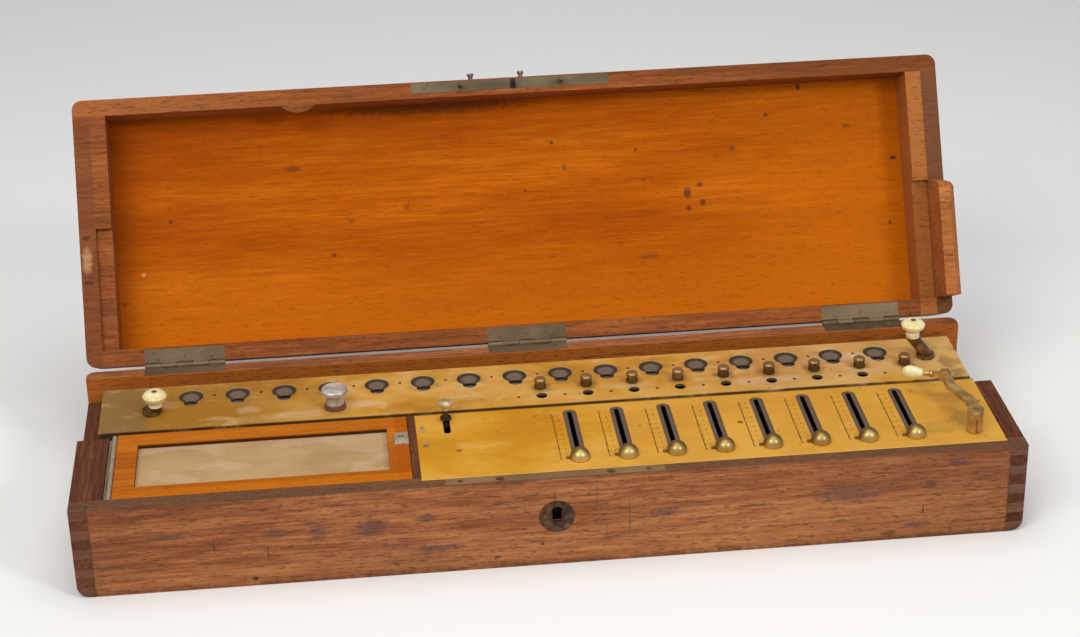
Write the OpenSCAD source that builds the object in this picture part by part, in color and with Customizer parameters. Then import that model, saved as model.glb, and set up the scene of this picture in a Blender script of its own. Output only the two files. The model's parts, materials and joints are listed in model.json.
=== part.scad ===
// Stepped-drum calculating machine in a wooden case, lid open, in millimetres.
// X runs to the right, Y to the rear, Z up. The origin is the middle of the case's underside.

/* [Case] */
// Width of the case
case_w = 585; // [580:1:600]
// Depth of the case
case_d = 178; // [176:1:186]
// Height of the base, without the lid
case_h = 61; // [60:0.5:64]
// Thickness of the case boards
wall_t = 11; // [10:0.5:12]
// Thickness of the bottom board
bottom_t = 8; // [6:0.5:9]
// Fingers in each corner joint
fingers = 9; // [5:2:11]
// Radius of the lid's corners and of the case's rear corners
corner_r = 6.5; // [3:0.5:8]
// Radius of the case's front corners
front_r = 1; // [0.5:0.5:3]
// Depth of the cut in the left end board
step_left = 17; // [14:0.5:18]
// Depth of the cut in the right end board, where the carriage runs out
step_right = 28; // [22:0.5:30]

/* [Lid] */
// Outer thickness of the lid
lid_h = 38; // [36:0.5:46]
// Thickness of the lid's panel
panel_t = 9; // [6:0.5:10]
// Width of the strips that line the lid's ends
liner_w = 10.5; // [8:0.5:12]
// Depth of the cut in those strips above the carriage
liner_cut = 4; // [2:0.5:6]
// Gap between the rims when the lid is shut
lid_gap = 0.6; // [0.4:0.1:1.2]
// Angle to which the lid is open
lid_open = 119; // [95:1:125]
// Outer hinges, from the inner face of the end board to the middle of the hinge
hinge_inset = 53.5; // [40:0.5:80]
// Length of each hinge
hinge_len = 53; // [40:1:60]
// Radius of the hinge barrels
hinge_r = 2; // [1.8:0.1:2.4]
// Radius of the hinge pins
hinge_pin_r = 1; // [0.8:0.1:1.1]
// Thickness of the hinge leaves
leaf_t = 1.2; // [1:0.1:1.5]
// Distance between the two prongs of the lock
prong_span = 68; // [50:1:80]

/* [Compartment] */
// Width of the wooden cheek at the left end
cheek_w = 10; // [8:0.5:11]
// Thickness of the divider beside the input plate
divider_t = 5; // [4:0.5:6]
// Thickness of the tablet frame
tablet_t = 8; // [7:0.5:10]
// Width of the tablet's frame bars
tablet_bar = 13; // [10:0.5:16]
// Depth of the tablet's sheet below its frame
sheet_recess = 3.5; // [2:0.5:4]
// Thickness of the tablet's sheet
sheet_t = 3; // [2:0.5:4]

/* [Input plate] */
// Thickness of the brass plates
plate_t = 2; // [1.6:0.1:2.4]
// Bare edge of the front board in front of the plate
plate_setback = 8; // [7.8:0.1:8.6]
// Gap between the input plate and the carriage
plate_gap = 1.3; // [1:0.1:2]
// Bare part of the input plate to the left of the first slot
plate_bare = 98; // [90:0.5:104]
// Input sliders
sliders = 8; // [4:1:8]
// Result dials
dials = 16; // [10:1:16]
// Counter dials
counters = 9; // [5:1:9]
// Width of the input slots
slot_w = 3; // [2.8:0.1:3.4]
// Slider knobs at zero, from the front face
slider_y0 = 22.5; // [22:0.1:23.5]
// Bare part of the input plate behind the last place of the slider knobs
plate_back = 13.5; // [13.2:0.1:16]
// Radius of the slider knobs
slider_r = 6.2; // [5:0.1:7]
// Function lever from the left end of the input plate
lever_inset = 19.5; // [16:0.5:30]
// Travel of the function lever
lever_travel = 15; // [10:0.5:16]

/* [Carriage] */
// Depth of the carriage plate
carriage_d = 58.2; // [57:0.1:60]
// Rear edge of the carriage from the rear face of the case
carriage_back = 28.5; // [28:0.1:32]
// First result dial from the inner face of the left end board
dial_inset_left = 58.6; // [52:0.1:66]
// Last result dial from the inner face of the right end board
dial_inset_right = 54.4; // [50:0.1:62]
// Gap at each end of the carriage
carriage_gap = 1.6; // [1:0.1:3]
// Height of the carriage plate above the case's rim
carriage_rise = 0.5; // [0.2:0.1:1]
// Result windows from the rear edge of the carriage
window_inset = 15.5; // [15:0.1:16]
// Width of the result windows
window_w = 17.6; // [14:0.1:19]
// Counter windows from the front edge of the carriage
counter_inset = 12.9; // [12.4:0.1:13.3]
// Radius of the counter windows
counter_window_r = 3.6; // [2.5:0.1:4]
// Radius of the counter knobs
counter_knob_r = 3.8; // [3:0.1:4.5]
// Carriage rail from the inner face of the rear board
rail_inset = 14; // [13.5:0.1:16]
// Radius of the carriage rail
rail_r = 3; // [2.6:0.1:3.2]
// Wall of the carriage bushings
bush_wall = 1.5; // [1.2:0.1:1.6]

/* [Crank] */
// Crank axis from the inner face of the right end board
crank_inset = 17.5; // [16.5:0.5:20]
// Distance from the crank's axis to the handle's joint
crank_radius = 49; // [42:0.5:50]
// Angle of the resting arm from the rear, towards the left
crank_angle = 8; // [0:1:12]
// Height of the arm's middle above the plate
arm_h = 14; // [13:0.5:16]
// Radius of the crank's hub
hub_r = 4.8; // [4.5:0.1:5.6]
// Length of the folding handle
handle_len = 27; // [22:0.5:30]

/* [Mechanism] */
// Height of the teeth on the drums
tooth_h = 2; // [1.5:0.1:2.2]
// Digit shafts below the case's rim
digit_drop = 20; // [19.5:0.1:20.5]
// Radius of the drum journals
journal_r = 2.5; // [2:0.1:2.6]
// Radius of the main shaft
main_r = 2; // [1.6:0.1:2.2]
// Thickness of the bed plate
bed_t = 3; // [2:0.5:3.5]

/* [Fits] */
// Gap between pieces that move past each other
gap = 0.3; // [0.3:0.05:0.4]
// Radial clearance of shafts in their bores
run = 0.05; // [0.03:0.01:0.08]

/* [Hidden] */
$fn = 48;
// Amount by which a cut runs past a face
over = 1;
front = -case_d / 2;
rear = case_d / 2;
half_w = case_w / 2;
inner_w = half_w - wall_t;
inner_front = front + wall_t;
inner_rear = rear - wall_t;
finger_h = case_h / fingers;
// Carriage edges, input plate and dial spacing, all from the case
carriage_rear = rear - carriage_back;
carriage_front = carriage_rear - carriage_d;
plate_y1 = carriage_front - plate_gap;
step_y = plate_y1 - 4;
dial_x0 = -inner_w + dial_inset_left;
pitch = (2 * inner_w - dial_inset_left - dial_inset_right) / (dials - 1);
slot_x0 = dial_x0 + (dials - sliders) * pitch;
plate_left = slot_x0 - plate_bare;
// Lid and its hinge line
hinge_y = rear + 0.8 * hinge_r;
hinge_z = case_h + lid_gap / 2;
rim_z = case_h + lid_gap;
lid_top = rim_z + lid_h;
leaf_w = wall_t - 1.5;
hinge_x = inner_w - hinge_inset;
hinge_places = [-hinge_x, 0, hinge_x];
knuckles = 5;
knuckle_len = hinge_len / knuckles;
// Lock in the front board's edge
lock_y = front + 4.2;
lock_t = 5;
lock_half = prong_span / 2 + 13;
selvedge_half = prong_span / 2 + 33;
selvedge_t = 2.5;
selvedge_w = 6.6;
lock_top = case_h - selvedge_t;
lock_bottom = case_h - 35;
lock_wall = 0.9;
prong_hole_r = 2.6;
prong_x = 2.4;
prong_y = 2.4;
prong_len = 13;
eye_z0 = rim_z - 10.5;
eye_z1 = rim_z - 6;
bolt_z0 = case_h - 17.5;
key_z = case_h - 23;
key_r = 3.4;
key_slot_z = case_h - 30;
key_slot_w = 5.6;
shield_r = 11;
shield_z = case_h - 27;
shield_t = 1.6;
shield_sink = 1;
// Compartment and tablet
cheek_right = -inner_w + cheek_w;
strip_r = 1.6;
strip_pin_r = 0.8;
strip_x = cheek_right + strip_r + 0.7;
strip_z = case_h - strip_r;
tablet_x0 = strip_x + strip_r + gap;
tablet_x1 = plate_left - divider_t - gap;
tablet_y0 = inner_front + gap;
tablet_y1 = plate_y1 - 0.5;
tablet_z0 = case_h - tablet_t;
ledge_t = 4;
strip_knuckles = 5;
rabbet = 4;
pull_w = 9;
pull_l = 14;
pull_t = 1.6;
pull_hole_r = 2;
pull_y = tablet_y1 - 28.5;
// Input plate
plate_z = case_h - plate_t;
plate_x1 = inner_w - gap;
plate_y0 = front + plate_setback;
digit_step = (plate_y1 - front - slider_y0 - plate_back) / 9;
slider_y = front + slider_y0;
slot_y0 = slider_y - slot_w / 2 - 0.7;
slot_y1 = slider_y + 9 * digit_step + slot_w / 2 + 4.6;
groove_w = 8.6;
groove_t = 0.6;
lever_x = plate_left + lever_inset;
lever_y = plate_y1 - 8;
lever_slot_w = 4.4;
lever_slot_y0 = lever_y - lever_travel - lever_slot_w / 2 - 1;
lever_slot_y1 = lever_y + lever_slot_w / 2 + 0.6;
plate_d = plate_y1 - plate_y0;
screw_places = [[plate_left + 5, plate_y0 + 0.51 * plate_d], [lever_x + 5.5, plate_y0 + 0.41 * plate_d],
                [slot_x0 + 3.5 * pitch, plate_y0 + 0.55 * plate_d],
                [inner_w - 5.5, plate_y0 + 0.63 * plate_d]];
screw_r = 1.8;
screw_head = 1;
shank_r = 1.1;
shank_len = 6;
pillar_r = 2.6;
// Mechanism
bed_z = bottom_t + bed_t;
bed_y0 = inner_front + 0.5;
frame_rear = carriage_rear - 6.7;
bed_y1 = frame_rear - 5.8;
crank_x = inner_w - crank_inset;
crank_y = slider_y;
bevel_in = 3;
bevel_out = 6;
bevel_gap = 0.4;
bevel_teeth = 12;
bar_t = 3;
drum_bar_y = crank_y + bevel_out + 0.5;
drum_y0 = drum_bar_y + bar_t + 0.8;
pinion_t = 3;
pinion_r = 4.5;
pinion_depth = 1.5;
digit_z = case_h - digit_drop;
drum_r = min(0.3834 * pitch, (digit_z - pinion_r + pinion_depth - bed_z - 0.5) / 2);
drum_z = digit_z - pinion_r + pinion_depth - drum_r;
pinion_off = drum_y0 - slider_y - pinion_t / 2 - 0.9;
drum_y1 = drum_y0 + 9 * digit_step + 1;
mid_bar_y = drum_y1 + 1;
mid_bar_t = 4;
rear_bar_y = frame_rear - 10.8;
bar_top = case_h - 15;
square_side = 3.2;
shaft_y0 = inner_front + 1;
sleeve_r = 3.4;
sleeve_y = carriage_rear - window_inset - 15;
reverse_r = 4.6;
reverse_gap = 5.5;
block_x = 4;
// Carriage
carriage_x0 = -inner_w + carriage_gap;
carriage_x1 = inner_w - carriage_gap;
carriage_top = case_h + carriage_rise;
carriage_z = carriage_top - plate_t;
carriage_low = bar_top + gap;
frame_bar = 3;
floor_z = case_h - 11;
floor_t = 2;
window_y = carriage_rear - window_inset;
dial_r = 0.46 * pitch;
counter_dial_r = 0.45 * pitch;
dial_y = sleeve_y;
dial_z = carriage_z - 2.6;
dial_t = 1;
spindle_r = 1.2;
counter_x0 = dial_x0 + 7.5 * pitch;
counter_window_y = carriage_front + counter_inset;
counter_y = counter_window_y + 10.8;
counter_z = dial_z - 2.2;
marker_r = 1.2;
rail_z = floor_z;
rail_axis_y = inner_rear - rail_inset;
bush_r = rail_r + run + bush_wall;
bush_len = 12;
bush_places = [-inner_w + 41.5, inner_w - 261.5];
flange_t = 1.5;
lug_r = bush_r + run + 1.8;
lug_len = bush_len - 2 * (flange_t + gap);
bracket_x = inner_w - 10;
bracket_t = 5;
lift_x = dial_x0 + 3.08 * pitch;
lift_y = carriage_front + 15.7;
left_pivot = [carriage_x0 + 32.6, carriage_front + 24];
right_pivot = [carriage_x1 - 21.7, carriage_front + 31.5];
reset_base_r = 6;
reset_base_h = 2.4;
reset_pin_r = 1.8;
// Crank
arm_z = case_h + arm_h;
shaft_r = 3;
joint_x = crank_x - crank_radius * sin(crank_angle);
joint_y = crank_y + crank_radius * cos(crank_angle);
handle_turn = 160;
joint_r = 3.8;
joint_pin_r = 1.3;
fork_gap = 3.6;
fork_wall = 1.5;

// A box between two corners
module block(a, b) {
    translate(a) cube(b - a);
}

// A round rod along X
module rod_x(x0, x1, r) {
    translate([x0, 0, 0]) rotate([0, 90, 0]) cylinder(h = x1 - x0, r = r);
}

// A round rod along Y
module rod_y(y0, y1, r) {
    translate([0, y0, 0]) rotate([-90, 0, 0]) cylinder(h = y1 - y0, r = r);
}

// A slot with round ends along Y, standing on z
module slot(x, y0, y1, z, w, h) {
    translate([0, 0, z]) {
        translate([x - w / 2, y0 + w / 2, 0]) cube([w, y1 - y0 - w, h]);
        translate([x, y0 + w / 2, 0]) cylinder(h = h, d = w);
        translate([x, y1 - w / 2, 0]) cylinder(h = h, d = w);
    }
}

// The lid's pieces are drawn shut and swung open about the hinge line
module swing_open() {
    translate([0, hinge_y, hinge_z]) rotate([-lid_open, 0, 0]) translate([0, -hinge_y, -hinge_z]) children();
}

// Height of the cut's floor in one end board
function step_level(side) = case_h - (side > 0 ? step_right : step_left);

// Upright block of the case's outline, with a radius of its own for the front corners
module outline(z0, z1, near_r) {
    translate([0, 0, z0]) linear_extrude(height = z1 - z0) {
        translate([-half_w, front + near_r]) square([case_w, case_d - near_r - corner_r]);
        translate([-half_w + near_r, front]) square([case_w - 2 * near_r, case_d / 2]);
        translate([-half_w + corner_r, 0]) square([case_w - 2 * corner_r, case_d / 2]);
        for (side = [-1, 1]) {
            translate([side * (half_w - near_r), front + near_r]) circle(r = near_r);
            translate([side * (half_w - corner_r), rear - corner_r]) circle(r = corner_r);
        }
    }
}

// Outline of the case, with the lower corners rounded as seen from the front
module case_outline() {
    r = 8.5;
    intersection() {
        outline(0, case_h, front_r);
        union() {
            block([-half_w + r, front - over, 0], [half_w - r, rear + over, case_h]);
            block([-half_w, front - over, r], [half_w, rear + over, case_h]);
            for (side = [-1, 1]) translate([side * (half_w - r), 0, r]) rod_y(front - over, rear + over, r);
        }
    }
}

// Fingers of the corner joints that one board gives up to the other; above the step the rear board has all
module finger_cells(first) {
    for (side = [-1, 1])
        for (y = [front, inner_rear])
            for (i = [0:fingers - 1]) {
                low = y == front || (i + 1) * finger_h <= step_level(side);
                if (low ? i % 2 == first : first == 0)
                    translate([side * (half_w - wall_t / 2) - wall_t / 2, y, i * finger_h])
                        cube([wall_t, wall_t, i == fingers - 1 ? finger_h + over : finger_h]);
            }
}

// Room for the hinges in the rim of a board
module hinge_mortises(z0, z1) {
    for (x = hinge_places) {
        block([x - hinge_len / 2, hinge_y - leaf_w - hinge_r, z0], [x + hinge_len / 2, hinge_y, z1]);
        translate([0, hinge_y, hinge_z])
            rod_x(x - hinge_len / 2, x + hinge_len / 2, hinge_r + 0.4);
    }
}

// Keyhole through a board, along Y
module keyhole(y0, y1) {
    translate([0, 0, key_z]) rod_y(y0, y1, key_r);
    block([-key_slot_w / 2, y0, key_slot_z], [key_slot_w / 2, y1, key_z]);
}

module case_front_board() {
    color("saddlebrown") difference() {
        intersection() {
            block([-half_w, front, 0], [half_w, inner_front, case_h]);
            case_outline();
        }
        finger_cells(1);
        // Seat of the input plate
        block([plate_left, plate_y0, plate_z], [inner_w, inner_front + over, case_h + over]);
        // Mortise and edge seat of the lock
        block([-lock_half, lock_y - lock_t / 2, lock_bottom], [lock_half, lock_y + lock_t / 2, case_h]);
        block([-selvedge_half, lock_y - selvedge_w / 2, lock_top],
              [selvedge_half, lock_y + selvedge_w / 2, case_h + over]);
        keyhole(front - over, lock_y);
        translate([0, 0, shield_z]) rod_y(front - over, front + shield_sink, shield_r);
    }
}

module case_rear_board() {
    color("saddlebrown") difference() {
        intersection() {
            block([-half_w, inner_rear, 0], [half_w, rear, case_h]);
            case_outline();
        }
        finger_cells(1);
        hinge_mortises(case_h - leaf_t, case_h + over);
    }
}

module case_end_boards() {
    color("saddlebrown") for (side = [-1, 1]) difference() {
        intersection() {
            translate([side * (half_w - wall_t / 2) - wall_t / 2, front, 0]) cube([wall_t, case_d, case_h]);
            case_outline();
        }
        finger_cells(0);
        translate([side * (half_w - wall_t / 2) - wall_t / 2 - over, step_y, step_level(side)])
            cube([wall_t + 2 * over, rear - step_y + over, case_h - step_level(side) + over]);
    }
}

module case_bottom_board() {
    color("peru") block([-inner_w, inner_front, 0], [inner_w, inner_rear, bottom_t]);
}

module compartment_walls() {
    color("sienna") {
        difference() {
            block([-inner_w, inner_front, bottom_t], [cheek_right, step_y, case_h]);
            // Let-in leaf of the tablet's hinge
            block([cheek_right - leaf_t, tablet_y0, tablet_z0],
                  [cheek_right + over, tablet_y1, case_h + over]);
        }
        block([plate_left - divider_t, inner_front, bottom_t], [plate_left, tablet_y1, case_h]);
        block([cheek_right, tablet_y1 - ledge_t, bottom_t],
              [plate_left - divider_t, tablet_y1, tablet_z0 - gap]);
        block([cheek_right, inner_front, bottom_t],
              [plate_left - divider_t, inner_front + ledge_t, tablet_z0 - gap]);
    }
}

// Barrel knuckles of one lid hinge that belong to one leaf
module knuckle_row(x, first, bore) {
    for (k = [first:2:knuckles - 1])
        translate([0, hinge_y, hinge_z]) difference() {
            rod_x(x - hinge_len / 2 + k * knuckle_len + gap / 2,
                  x - hinge_len / 2 + (k + 1) * knuckle_len - gap / 2, hinge_r);
            rod_x(x - hinge_len / 2, x + hinge_len / 2, bore);
        }
}

// One leaf of a lid hinge, with tongues that reach its own knuckles
module hinge_leaf(x, first, z0, z1, bore) {
    difference() {
        union() {
            block([x - hinge_len / 2, hinge_y - leaf_w - hinge_r, z0],
                  [x + hinge_len / 2, hinge_y - hinge_r - 0.5, z1]);
            for (k = [first:2:knuckles - 1])
                block([x - hinge_len / 2 + k * knuckle_len + gap / 2, hinge_y - hinge_r - 0.5, z0],
                      [x - hinge_len / 2 + (k + 1) * knuckle_len - gap / 2, hinge_y, z1]);
            knuckle_row(x, first, bore);
        }
        translate([0, hinge_y, hinge_z]) rod_x(x - hinge_len / 2, x + hinge_len / 2, bore);
    }
}

module hinge_base_leaves() {
    color("olive") {
        for (x = hinge_places) {
            hinge_leaf(x, 0, case_h - leaf_t, case_h, hinge_pin_r);
            translate([0, hinge_y, hinge_z]) rod_x(x - hinge_len / 2, x + hinge_len / 2, hinge_pin_r);
        }
        // Fixed leaf, knuckles and pin of the tablet's strip hinge
        strip_leaf(0, strip_pin_r, cheek_right - leaf_t, cheek_right);
        translate([strip_x, 0, strip_z]) rod_y(tablet_y0, tablet_y1, strip_pin_r);
    }
}

module hinge_lid_leaves() {
    color("olive") swing_open() for (x = hinge_places)
        hinge_leaf(x, 1, rim_z, rim_z + leaf_t, hinge_pin_r + run);
}

// One leaf of the tablet's hinge: a flat strip on edge with every second knuckle
module strip_leaf(first, bore, x0, x1) {
    n = strip_knuckles;
    len = (tablet_y1 - tablet_y0) / n;
    difference() {
        union() {
            block([x0, tablet_y0, tablet_z0], [x1, tablet_y1, strip_z - strip_r - gap]);
            for (k = [first:2:n - 1]) {
                y0 = tablet_y0 + k * len + gap / 2;
                block([min(x0, strip_x), y0, strip_z - strip_r - gap - leaf_t],
                      [max(x1, strip_x), y0 + len - gap, strip_z - strip_r - gap]);
                block([strip_x - 0.6, y0, strip_z - strip_r - gap - leaf_t],
                      [strip_x + 0.6, y0 + len - gap, strip_z]);
                translate([strip_x, 0, strip_z]) rod_y(y0, y0 + len - gap, strip_r);
            }
        }
        translate([strip_x, 0, strip_z]) rod_y(tablet_y0 - over, tablet_y1 + over, bore);
    }
}

module tablet_hinge_leaf() {
    color("gray") strip_leaf(1, strip_pin_r + run, tablet_x0, tablet_x0 + leaf_t);
}

module tablet_frame() {
    color("chocolate") difference() {
        block([tablet_x0, tablet_y0, tablet_z0], [tablet_x1, tablet_y1, case_h]);
        block([tablet_x0 + tablet_bar, tablet_y0 + tablet_bar, tablet_z0 - over],
              [tablet_x1 - tablet_bar, tablet_y1 - tablet_bar, case_h + over]);
        block([tablet_x0 + tablet_bar - rabbet, tablet_y0 + tablet_bar - rabbet, tablet_z0 - over],
              [tablet_x1 - tablet_bar + rabbet, tablet_y1 - tablet_bar + rabbet, case_h - sheet_recess]);
        block([tablet_x0 - over, tablet_y0 - over, tablet_z0 - over],
              [tablet_x0 + leaf_t, tablet_y1 + over, strip_z - strip_r - gap]);
        block([tablet_x1 - pull_w, pull_y - pull_l / 2, case_h - pull_t / 2],
              [tablet_x1 + over, pull_y + pull_l / 2, case_h + over]);
    }
}

module tablet_sheet() {
    color("tan") block([tablet_x0 + tablet_bar - rabbet, tablet_y0 + tablet_bar - rabbet,
                        case_h - sheet_recess - sheet_t],
                       [tablet_x1 - tablet_bar + rabbet, tablet_y1 - tablet_bar + rabbet,
                        case_h - sheet_recess]);
}

module tablet_pull() {
    color("goldenrod") difference() {
        union() {
            block([tablet_x1 - pull_w, pull_y - pull_l / 2, case_h - pull_t / 2],
                  [tablet_x1, pull_y + pull_l / 2, case_h + pull_t / 2]);
            translate([tablet_x1 - pull_w / 2, pull_y, case_h - pull_t / 2])
                cylinder(h = pull_t + 1.2, r = 3.6);
        }
        translate([tablet_x1 - pull_w / 2, pull_y, case_h]) cylinder(h = 2 * pull_t + 2, r = pull_hole_r);
    }
}

module box_lock() {
    color("darkkhaki") difference() {
        union() {
            block([-lock_half, lock_y - lock_t / 2, lock_bottom],
                  [lock_half, lock_y + lock_t / 2, lock_top]);
            block([-selvedge_half, lock_y - selvedge_w / 2, lock_top],
                  [selvedge_half, lock_y + selvedge_w / 2, case_h]);
        }
        block([-lock_half + lock_wall, lock_y - lock_t / 2 + lock_wall, bolt_z0 - 0.6],
              [lock_half - lock_wall, lock_y + lock_t / 2 - lock_wall, lock_top - lock_wall]);
        for (side = [-1, 1])
            translate([side * prong_span / 2, lock_y, lock_top - 2 * lock_wall])
                cylinder(h = selvedge_t + 2 * lock_wall + over, r = prong_hole_r);
        keyhole(lock_y - lock_t, lock_y + lock_t / 2 - lock_wall);
    }
}

// Two fingers on a bar; each finger enters the eye of a prong when the bar is thrown to the right
module lock_bolt() {
    finger_end = prong_x / 2 + 0.6;
    finger_len = 4;
    post = 2.2;
    half_t = 0.5;
    color("dimgray") {
        block([-prong_span / 2 - finger_end - finger_len - post, lock_y - half_t, bolt_z0],
              [prong_span / 2 - finger_end - finger_len, lock_y + half_t, bolt_z0 + 2.6]);
        for (side = [-1, 1]) {
            x = side * prong_span / 2 - finger_end - finger_len;
            block([x - post, lock_y - half_t, bolt_z0 + 2.6], [x, lock_y + half_t, eye_z1 - 0.8]);
            block([x, lock_y - half_t, eye_z0 + 0.8], [x + finger_len, lock_y + half_t, eye_z1 - 0.8]);
        }
    }
}

module keyhole_escutcheon() {
    color("darkolivegreen") difference() {
        union() {
            translate([0, 0, shield_z])
                rod_y(front - shield_t / 2 + shield_sink / 2, front + shield_sink, shield_r);
            translate([0, 0, shield_z]) rod_y(front - shield_t / 2, front + shield_sink, shield_r - 2);
        }
        keyhole(front - 2 * shield_t, front + shield_sink + over);
    }
}

module input_plate() {
    color("goldenrod") difference() {
        block([plate_left, plate_y0, plate_z], [plate_x1, plate_y1, case_h]);
        for (i = [0:sliders - 1]) {
            slot(slot_x0 + i * pitch, slot_y0, slot_y1, plate_z - over, slot_w, plate_t + 2 * over);
            slot(slot_x0 + i * pitch, slot_y0 + 2, slot_y1 + 1.6,
                 case_h - groove_t, groove_w, groove_t + over);
        }
        slot(lever_x, lever_slot_y0, lever_slot_y1, plate_z - over, lever_slot_w, plate_t + 2 * over);
        translate([crank_x, crank_y, plate_z - over]) cylinder(h = plate_t + 2 * over, r = shaft_r + run);
        for (p = screw_places) translate([p[0], p[1], plate_z - over]) {
            cylinder(h = plate_t + 2 * over, r = shank_r);
            translate([0, 0, over + plate_t - screw_head]) cylinder(h = screw_head + over, r = screw_r);
        }
    }
}

module plate_screws() {
    color("dimgray") for (p = screw_places) translate([p[0], p[1], case_h]) difference() {
        union() {
            translate([0, 0, -screw_head]) cylinder(h = screw_head, r = screw_r);
            translate([0, 0, -shank_len]) cylinder(h = shank_len - screw_head, r = shank_r);
        }
        translate([-screw_r, -0.25, -0.4]) cube([2 * screw_r, 0.5, over]);
    }
}

// A bevel wheel whose pitch cone has its tip at the origin and opens along +Z; tooth gaps lie below the cone
module bevel() {
    difference() {
        translate([0, 0, bevel_in])
            cylinder(h = bevel_out - bevel_in, r1 = bevel_in - bevel_gap, r2 = bevel_out - bevel_gap);
        for (i = [0:bevel_teeth - 1]) rotate([0, 0, i * 360 / bevel_teeth])
            translate([0, 0, bevel_in - bevel_gap]) rotate([0, 45, 0])
                translate([bevel_in, -0.4, -0.9]) cube([bevel_out, 0.8, 1.8]);
    }
}

module mechanism_frame() {
    bar_x0 = slot_x0 - pitch / 2 - 8;
    bar_x1 = slot_x0 + (sliders - 0.5) * pitch + 8;
    color("darkgoldenrod") difference() {
        union() {
            block([plate_left + 3, bed_y0, bottom_t], [inner_w - 1, bed_y1, bed_z]);
            // Front bar of the digit shafts, front bar of the drums, middle and rear bars
            block([bar_x0, shaft_y0 - 0.5, bed_z], [bar_x1, shaft_y0 + bar_t - 0.5, bar_top]);
            block([bar_x0, drum_bar_y, bed_z], [bar_x1, drum_bar_y + bar_t, drum_z + 2 * journal_r + 2]);
            block([plate_left + 3, mid_bar_y, bed_z], [inner_w - 1, mid_bar_y + mid_bar_t, bar_top]);
            block([bar_x0, rear_bar_y, bed_z], [bar_x1, rear_bar_y + bar_t, bar_top - 0.5]);
            // Pillars under the input plate
            for (p = screw_places) translate([p[0], p[1], bed_z])
                cylinder(h = plate_z - bed_z, r = pillar_r);
            // Bearing blocks of the main shaft
            for (i = [0:3:sliders])
                translate([slot_x0 + (i - 0.5) * pitch - block_x / 2, crank_y - 5, bed_z])
                cube([block_x, 10, drum_z + 5 - bed_z]);
            translate([crank_x - bevel_out - 9, crank_y - 5, bed_z]) cube([block_x, 10, drum_z + 5 - bed_z]);
            // Bracket that guides the crank's shaft
            block([crank_x + 7, crank_y - 6, bed_z], [crank_x + 11, crank_y + 6, bar_top]);
            block([crank_x - 6, crank_y - 6, bar_top - 6], [crank_x + 8, crank_y + 6, bar_top]);
        }
        for (i = [0:sliders - 1]) translate([slot_x0 + i * pitch, 0, 0]) {
            translate([0, 0, digit_z]) rod_y(shaft_y0 - over, rear_bar_y + bar_t + over, 0.72 * square_side);
            translate([0, 0, drum_z])
                rod_y(drum_bar_y - over, mid_bar_y + mid_bar_t + over, journal_r + run);
        }
        translate([0, crank_y, drum_z]) rod_x(bar_x0, crank_x - bevel_in, main_r + run);
        translate([crank_x, crank_y, bar_top - 6 - over]) cylinder(h = 6 + 2 * over, r = shaft_r + run);
        for (p = screw_places) translate([p[0], p[1], case_h - shank_len])
            cylinder(h = shank_len, r = shank_r);
    }
}

module main_shaft() {
    x0 = slot_x0 - pitch / 2 - block_x;
    color("silver") translate([0, crank_y, drum_z]) {
        rod_x(x0, crank_x - bevel_in, main_r);
        for (i = [0:sliders - 1]) translate([slot_x0 + i * pitch, 0, 0]) rotate([0, 90, 0]) bevel();
        translate([crank_x, 0, 0]) rotate([0, -90, 0]) bevel();
    }
}

// A drum with nine teeth, each one digit step shorter than the last, a bevel in front and two journals
module stepped_drum(i) {
    tooth_w = 2.2;
    color("khaki") translate([slot_x0 + i * pitch, 0, drum_z]) {
        rod_y(drum_y0, drum_y1, drum_r - tooth_h);
        rod_y(crank_y + bevel_in, mid_bar_y + mid_bar_t, journal_r);
        translate([0, crank_y, 0]) rotate([-90, 0, 0]) bevel();
        for (j = [1:9]) rotate([0, 110 + j * 16, 0])
            translate([-tooth_w / 2, drum_y0 + (j - 1) * digit_step + 0.4, 0])
                cube([tooth_w, drum_y1 - drum_y0 - (j - 1) * digit_step - 0.4, drum_r]);
    }
}

module digit_shafts() {
    color("silver") for (i = [0:sliders - 1]) translate([slot_x0 + i * pitch, 0, digit_z]) {
        translate([-square_side / 2, shaft_y0 - 0.5, -square_side / 2])
            cube([square_side, rear_bar_y + bar_t - shaft_y0 + 0.5, square_side]);
        rod_y(sleeve_y - 9, sleeve_y + 9, sleeve_r);
        for (s = [-1, 1]) translate([0, sleeve_y, 0]) rotate([s * 90, 0, 0]) translate([0, 0, reverse_gap])
            cylinder(h = 2.5, r1 = reverse_r - 1.5, r2 = reverse_r);
    }
}

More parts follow.
